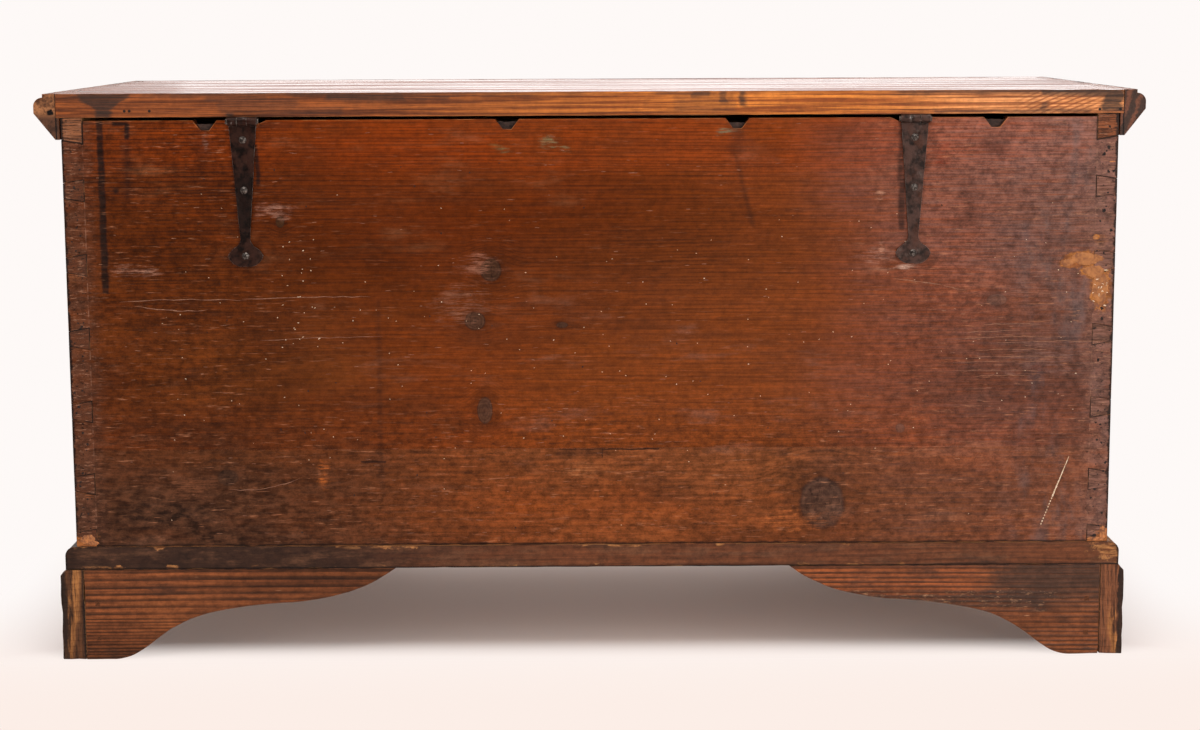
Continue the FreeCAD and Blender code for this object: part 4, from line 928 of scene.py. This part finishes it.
def lid_marks(f):
    """The back edge, orange and paler towards one end, where painted light also brightens it, with its stains
    and its nail heads.
    """
    hind, varnished = f.facing("Y", 1), f.colour
    ragged = f.cloud(45, 45, 4, 0.6)
    x = f.wander(f.x, f.cloud(28, 90, 4, 0.6), 0.018)
    z, along = f.wander(f.z, ragged, 0.008), f.wander(f.x, ragged, 0.008)
    streak = f.grained(6, 300, 4, 0.68)
    stripe = f.rise(streak, 0.36, 0.64)
    # Painted light: a lit and a shaded copy of the edge's colours, the lit one towards one end
    bright = f.rise(f.wander(f.x, f.grained(2.5, 20, 3), 0.6), -0.4, 0.42, 1, 0.1)
    f.colour = f.blend(bright, f.blend(stripe, (140, 70, 30), (70, 32, 14)),
                       f.blend(stripe, (216, 126, 46), (136, 66, 20)))
    f.coat((226, 158, 108), f.fall(along, -0.5, -0.28), f.rise(streak, 0.3, 0.62, 0.75, 0.15))
    f.spread(f.grained(5, 620, 3, 0.6), 0.54, 0.66, 0.75, (84, 40, 18))
    figure = f.reckon("SINE", f.times(f.plus(f.times(f.z, 2.4), along), 520))
    curled = f.patch(f.x, f.z, (-0.535, 0.646), (0.045, 0.02), 0.02)
    f.coat((118, 58, 28), curled, f.rise(figure, -0.2, 0.9, 0, 0.75))
    upper = f.times(f.rise(z, 0.651, 0.657), f.rise(f.grained(5, 20, 3), 0.42, 0.6), 0.7)
    funnel = f.less(f.off(x, FUNNEL), f.rise(z, 0.64, 0.659, 0.009, 0.031))
    stained = f.most(upper, f.times(f.fall(funnel, -0.003, 0.003), 0.9))
    for middle, half, strength in edge_stains:
        stained = f.most(stained, f.times(f.patch(x, z, middle, half, STAIN_SOFT), strength))
    f.coat((50, 37, 30), stained, f.rise(streak, 0.3, 0.6, 0.75, 1))
    for middle in edge_nails:
        f.coat((24, 16, 13), f.fall(f.oval(f.flat, middle, EDGE_NAIL), 0.7, 1.2))
    f.colour = f.blend(hind, varnished, f.colour)
    worn_gloss = f.rise(f.grained(2.2, 26, 4, 0.66), 0.44, 0.62, 0, 0.26)
    f.rough = f.plus(f.rough, f.times(f.facing("Z", 1), worn_gloss))
    f.rough = f.plus(f.rough, f.times(hind, 0.3))


for part, pith, ring in (("rear", (0.16, 0.45), 0.005), ("front", (-0.12, 0.38), 0.0056)):
    lid_pine = pine(f"lid_{part}_pine", "X", pith, ring, (142, 70, 29), (80, 34, 13), drift=0.05, gloss=0.24,
                    relief=0.0008, marks=lid_marks, raw=lambda f: f.facing("Z", -1), gritty=0.2,
                    Specular_IOR_Level=0.22)
    worn(f"lid_board_{part}", lid_pine, "lid", edge=0.0009, rub=1, step=0.015,
         seam=("Y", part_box("lid_board_rear")[0].y))


# Lid moulding: lengths of pine moulded with a step, a quarter round and a long bevel, mitred at the front
# corners and nailed to the lid. At the back its sawn ends show, one of them worn pale and eaten by worm.
def moulding_marks(f):
    soot = f.grained(7, 30, 5, 0.6)
    f.spread(soot, 0.5, 0.74, 0.7, (58, 34, 22))
    f.spread(f.grained(9, 40, 4, 0.6), 0.58, 0.74, 0.6, (176, 112, 66))
    f.rough = f.wander(f.rough, soot, 0.3)


def moulding_ends(f):
    """Worn pale wood over a dark bevel on one end, with a hole; dark with rusty stripes on the other."""
    coarse = f.cloud(85, 85, 5, 0.7)
    crumbs = f.cloud(420, 420, 3, 0.6)
    bevel = f.blend(f.rise(coarse, 0.4, 0.6), (92, 58, 40), (62, 40, 29))
    pale = f.blend(f.rise(coarse, 0.36, 0.62), (158, 103, 65), (84, 51, 32))
    pale = f.blend(f.rise(crumbs, 0.48, 0.68, 0, 0.6), pale, (66, 41, 28))
    pale = f.blend(f.rise(f.wander(f.z, coarse, 0.02), 0.629, 0.637), bevel, pale)
    hole = f.blot(f.join(f.x, f.z), (0.6114, 0.6377), (0.0042, 0.0036), crumbs, 1.7, 0.8, 1.1)
    pale = f.blend(hole, pale, (18, 12, 10))
    slant = f.plus(f.wander(f.times(f.z, 0.32), coarse, 0.016), f.x)
    stripe = f.reckon("SINE", f.times(slant, 480))
    dark = f.blend(f.rise(stripe, -0.2, 1, 0, 0.5), (64, 46, 38), (136, 80, 56))
    dark = f.blend(f.rise(crumbs, 0.45, 0.7, 0, 0.5), dark, (48, 32, 26))
    f.colour = f.blend(f.rise(f.x, -0.01, 0.01), dark, pale)
    crack = f.off(f.size(f.x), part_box("lid_board_rear")[1].x)
    f.coat(tar, f.fall(crack, 0.0004, 0.0012))


for part, along, pith in (("front", "X", (front_y - 0.2, 0.4)), ("right", "Y", (0.5, 0.5)),
                          ("left", "Y", (-0.48, 0.78))):
    moulding_pine = pine(f"moulding_{part}_pine", along, pith, 0.0042, (138, 72, 34), (78, 37, 17),
                         drift=0.02, marks=moulding_marks, end_marks=moulding_ends if along == "Y" else None)
    worn(f"lid_moulding_{part}", moulding_pine, "lid", edge=0.0013, rub=1.3, step=0.01)


# Strap hinges: forged from one bar each, hammered thin and tapered to a fan at the end. They are nearly
# black, rusty in places, and rubbed to bare metal on the knuckles and along the rim of the fan; the knuckles
# also carry painted highlights.
KNUCKLE_LOW, SOOTED_MIDDLE = 0.62, 0.535


def forged_iron():
    f = Finish("forged_iron", Metallic=0.5, Specular_IOR_Level=0.25)
    beaten = f.cloud(120, 120, 3, 0.55)
    fine = f.cloud(420, 420, 3, 0.6)
    rusty = f.rise(f.cloud(50, 36, 4, 0.62), 0.5, 0.66)
    bare = f.rise(f.cloud(110, 80, 4, 0.66), 0.56, 0.72)
    f.colour = f.blend(f.rise(beaten, 0.35, 0.65), (30, 20, 15), (76, 53, 45))
    f.coat((76, 42, 28), rusty, 0.6)
    f.coat(f.blend(fine, (70, 58, 52), (112, 98, 90)), bare, 0.5)
    tarred = f.rise(f.wander(f.x, beaten, 0.3), -0.1, 0.1, 0, 0.85)
    f.dye(tarred, 0.44, 0.25, 0.15)
    f.coat((14, 8, 5), tarred, f.fall(f.off(f.z, SOOTED_MIDDLE), 0.02, 0.045), 0.75)
    outside = f.rise(f.y, back_y - 0.002, back_y + 0.001)
    # Bare metal rubbed on the knuckles, with painted highlights
    knuckle = f.times(f.rise(f.z, KNUCKLE_LOW, KNUCKLE_LOW + 0.0025), outside)
    f.coat((158, 150, 146), knuckle, f.rise(bare, 0, 1, 0, 0.75))
    f.coat((150, 138, 128), f.rubbed(), f.rise(fine, 0.35, 0.6, 0.1, 0.9))
    f.rough = f.rise(beaten, 0.2, 0.8, 0.36, 0.6)
    return f.surface(f.plus(beaten, f.times(fine, 0.3)), 0.0011)


iron = forged_iron()
for side in ("right", "left"):
    worn(f"{side}_hinge_strap", iron, "case", edge=0.0006, rub=1.2, step=0.006)
    worn(f"{side}_hinge_leaf", iron, "lid", edge=0.0006, rub=1.2, step=0.006)
    worn(f"{side}_hinge_pin", iron, "case", edge=0.0005, rub=0.8, step=0.006)


# Screws: slotted steel screws with low domed heads, which hold the hinges. Their heads are rubbed bright and
# their slots are full of dirt.
def worn_steel():
    f = Finish("worn_steel", Metallic=0.8)
    rubbed = f.cloud(420, 420, 3, 0.6)
    f.colour = f.blend(f.rise(rubbed, 0.4, 0.68), (52, 42, 37), (130, 120, 112))
    f.rough = f.rise(rubbed, 0.3, 0.7, 0.5, 0.3)
    return f.surface(rubbed, 0.0003)


HEAD_RISE, SLOT_HALF, SLOT_DEEP = 0.0022, 0.00055, 0.0012
HEAD_SHARES, ROWS, HAIR = (0.3, 0.55, 0.78, 0.93, 1), 5, 1e-5


def domed_head(shape, seat, radius, outward, turn):
    """One screw head: rows of points on either side of the slot, which drops between the two middle rows."""
    spun = outward.to_track_quat("Z", "Y").to_matrix() @ Matrix.Rotation(turn, 3, "Z")
    half = [(SLOT_HALF, SLOT_DEEP), (SLOT_HALF, 0)] + [(share * radius, 0) for share in HEAD_SHARES]
    lines = []
    for across, deep in [(-across, deep) for across, deep in reversed(half)] + half:
        chord = math.sqrt(max(radius ** 2 - across ** 2, 0)) + HAIR
        line = []
        for row in range(-ROWS, ROWS + 1):
            along = chord * math.sin(row / ROWS * math.pi / 2)
            up = HEAD_RISE * (1 - (across ** 2 + along ** 2) / (radius + HAIR) ** 2)
            line.append(shape.verts.new(seat + spun @ Vector((across, along, max(up - deep, 0)))))
        lines.append(line)
    for one, two in zip(lines, lines[1:]):
        for a, b, c, d in zip(one, two, two[1:], one[1:]):
            shape.faces.new((a, b, c, d))


steel = worn_steel()
chance = random.Random(7)
for node, body, outward in (("strap_screws", "case", Vector((0, 1, 0))),
                            ("leaf_screws", "lid", Vector((0, 0, -1)))):
    heads = bmesh.new()
    for low, high in fastener_boxes(node):
        low, high = Vector(low), Vector(high)
        seat = (low + high) / 2
        if body == "case":
            seat.y = high.y - HEAD_RISE
        else:
            seat.z = low.z + HEAD_RISE
        domed_head(heads, seat, (high.x - low.x) / 2, outward, chance.uniform(0, math.pi))
    bmesh.ops.recalc_face_normals(heads, faces=heads.faces)
    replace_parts(show(node + "_domed", heads, steel, body), node)


# Nails: cut iron nails driven flush through the mouldings, brackets and bottom. Their square heads have
# rusted, and keep the shapes of the solids.
nail_iron = plain_finish("rusted_nails", (98, 56, 32), (66, 38, 23), 500, 0.6, Specular_IOR_Level=0.1)
for node in ("bottom_nails", "moulding_nails", "bracket_nails"):
    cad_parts[node].data.materials.clear()
    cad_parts[node].data.materials.append(nail_iron)


# Studio: a round pale floor that fades into a white background, lit from all around by six lamps. The room
# behind the camera is dim, so that it leaves no veil on the varnish.
FLOOR_REACH, FLOOR_SIDES, CHEST_HALF = 2.6, 96, 0.62
WHITE, WARM_WHITE = (254, 249, 247), (252, 238, 231)


def pale_floor():
    """Plain near the chest; further off, where the camera sees it, it turns into the white background."""
    f = Finish("pale_floor", Roughness=0.85, Specular_IOR_Level=0.1)
    f.put(f.shader.inputs["Base Color"], f.blend(f.cloud(0.6, 0.6), (240, 227, 221), (242, 230, 224)))
    beside, before, behind = f.less(f.size(f.x), CHEST_HALF), f.less(-back_y, f.y), f.less(f.y, back_y)
    away = f.rise(f.most(beside, before), -0.06, 0.15, 0.05, 1)
    away = f.most(away, f.rise(behind, -0.09, 0.02))
    rays = f.add("LightPath")
    seen = f.most(rays.outputs["Is Camera Ray"], rays.outputs["Is Transmission Ray"])
    warm = f.times(f.rise(f.y, -0.1, 0.5), f.fall(f.span(f.place), 0.9, 2.3))
    faded = f.add("Emission", f.blend(warm, WHITE, WARM_WHITE), 1)
    mixed = f.add("MixShader", f.times(away, seen), f.shader.outputs[0], faded.outputs[0])
    f.put(f.nodes["Material Output"].inputs["Surface"], mixed.outputs[0])
    return f.material


angles = [math.tau * turn / FLOOR_SIDES for turn in range(FLOOR_SIDES)]
floor_mesh = bpy.data.meshes.new("floor")
rim = [(FLOOR_REACH * math.cos(angle), FLOOR_REACH * math.sin(angle), 0) for angle in angles]
floor_mesh.from_pydata(rim, [], [range(FLOOR_SIDES)])
floor_mesh.materials.append(pale_floor())
floor = bpy.data.objects.new("floor", floor_mesh)
bpy.context.scene.collection.objects.link(floor)

world = bpy.data.worlds.new("studio")
bpy.context.scene.world = world
world.use_nodes = True
room = Nodes(world.node_tree)
room.nodes.clear()
rays = room.add("LightPath")
seen = room.reckon("MAXIMUM", rays.outputs["Is Camera Ray"], rays.outputs["Is Transmission Ray"])
toward = room.add("SeparateXYZ", room.add("TexCoord").outputs["Generated"]).outputs["Y"]
mirrored = room.add("MapRange", toward, -0.05, 0.3, 0.86, 0.05, interpolation_type="SMOOTHSTEP").outputs[0]
backdrop = room.add("Background", shade(*WHITE), 1)
gloss = room.add("Background", (1, 0.95, 0.93, 1), mirrored)
light = room.add("Background", (0.97, 0.98, 1, 1), 0.6)
shiny = room.add("MixShader", rays.outputs["Is Glossy Ray"], light.outputs[0], gloss.outputs[0])
shown = room.add("MixShader", seen, shiny.outputs[0], backdrop.outputs[0])
room.add("OutputWorld", shown.outputs[0])

# Each lamp: its place, width, height and power; the strip lamp is the one that the lid's top mirrors
lamps = [("key_lamp", (-2.9, 2.5, 1.6), 2.2, 2.2, 40), ("fill_lamp", (2.6, 2.4, 2.6), 2.6, 2.6, 26),
         ("top_lamp", (0, 1.2, 3.3), 2.6, 2.6, 58), ("hind_lamp", (0, -3, 2.6), 2.6, 2.6, 38),
         ("low_lamp", (-1.25, 2.9, 0.6), 0.9, 0.9, 14), ("strip_lamp", (-0.56, -3.2, 0.86), 3.4, 0.8, 14)]
LAMPS_AIM = Vector((0, 0, 0.35))
for name, spot, wide, high, power in lamps:
    data = bpy.data.lights.new(name, "AREA")
    data.shape = "RECTANGLE"
    data.size, data.size_y = wide, high
    data.energy = power
    lamp = bpy.data.objects.new(name, data)
    lamp.location = spot
    lamp.visible_camera = False
    lamp.rotation_euler = (LAMPS_AIM - Vector(spot)).to_track_quat("-Z", "Y").to_euler()
    bpy.context.scene.collection.objects.link(lamp)

# Camera: behind the chest, a little above the lid and in line with its middle. It was fitted to the photo's
# upright and level lines.
yaw, pitch, roll = math.radians(0.278), math.radians(8.546), math.radians(-0.248)
ASIDE, STAND_BACK, EYE_HEIGHT = 0.0031, 2.6362, 0.7421
right, up, ahead = Vector((-1, 0, 0)), Vector((0, 0, 1)), Vector((0, -1, 0))
ahead, right = ahead * math.cos(yaw) + right * math.sin(yaw), right * math.cos(yaw) - ahead * math.sin(yaw)
ahead, up = ahead * math.cos(pitch) - up * math.sin(pitch), up * math.cos(pitch) + ahead * math.sin(pitch)
right, up = right * math.cos(roll) + up * math.sin(roll), up * math.cos(roll) - right * math.sin(roll)
lens = bpy.data.cameras.new("camera")
lens.sensor_width = 36
lens.lens = 69.48
camera = bpy.data.objects.new("camera", lens)
camera.matrix_world = Matrix((right, up, -ahead)).transposed().to_4x4()
camera.location = (ASIDE, back_y + STAND_BACK, EYE_HEIGHT)
bpy.context.scene.collection.objects.link(camera)
bpy.context.scene.camera = camera
bpy.context.scene.view_settings.view_transform = "Standard"
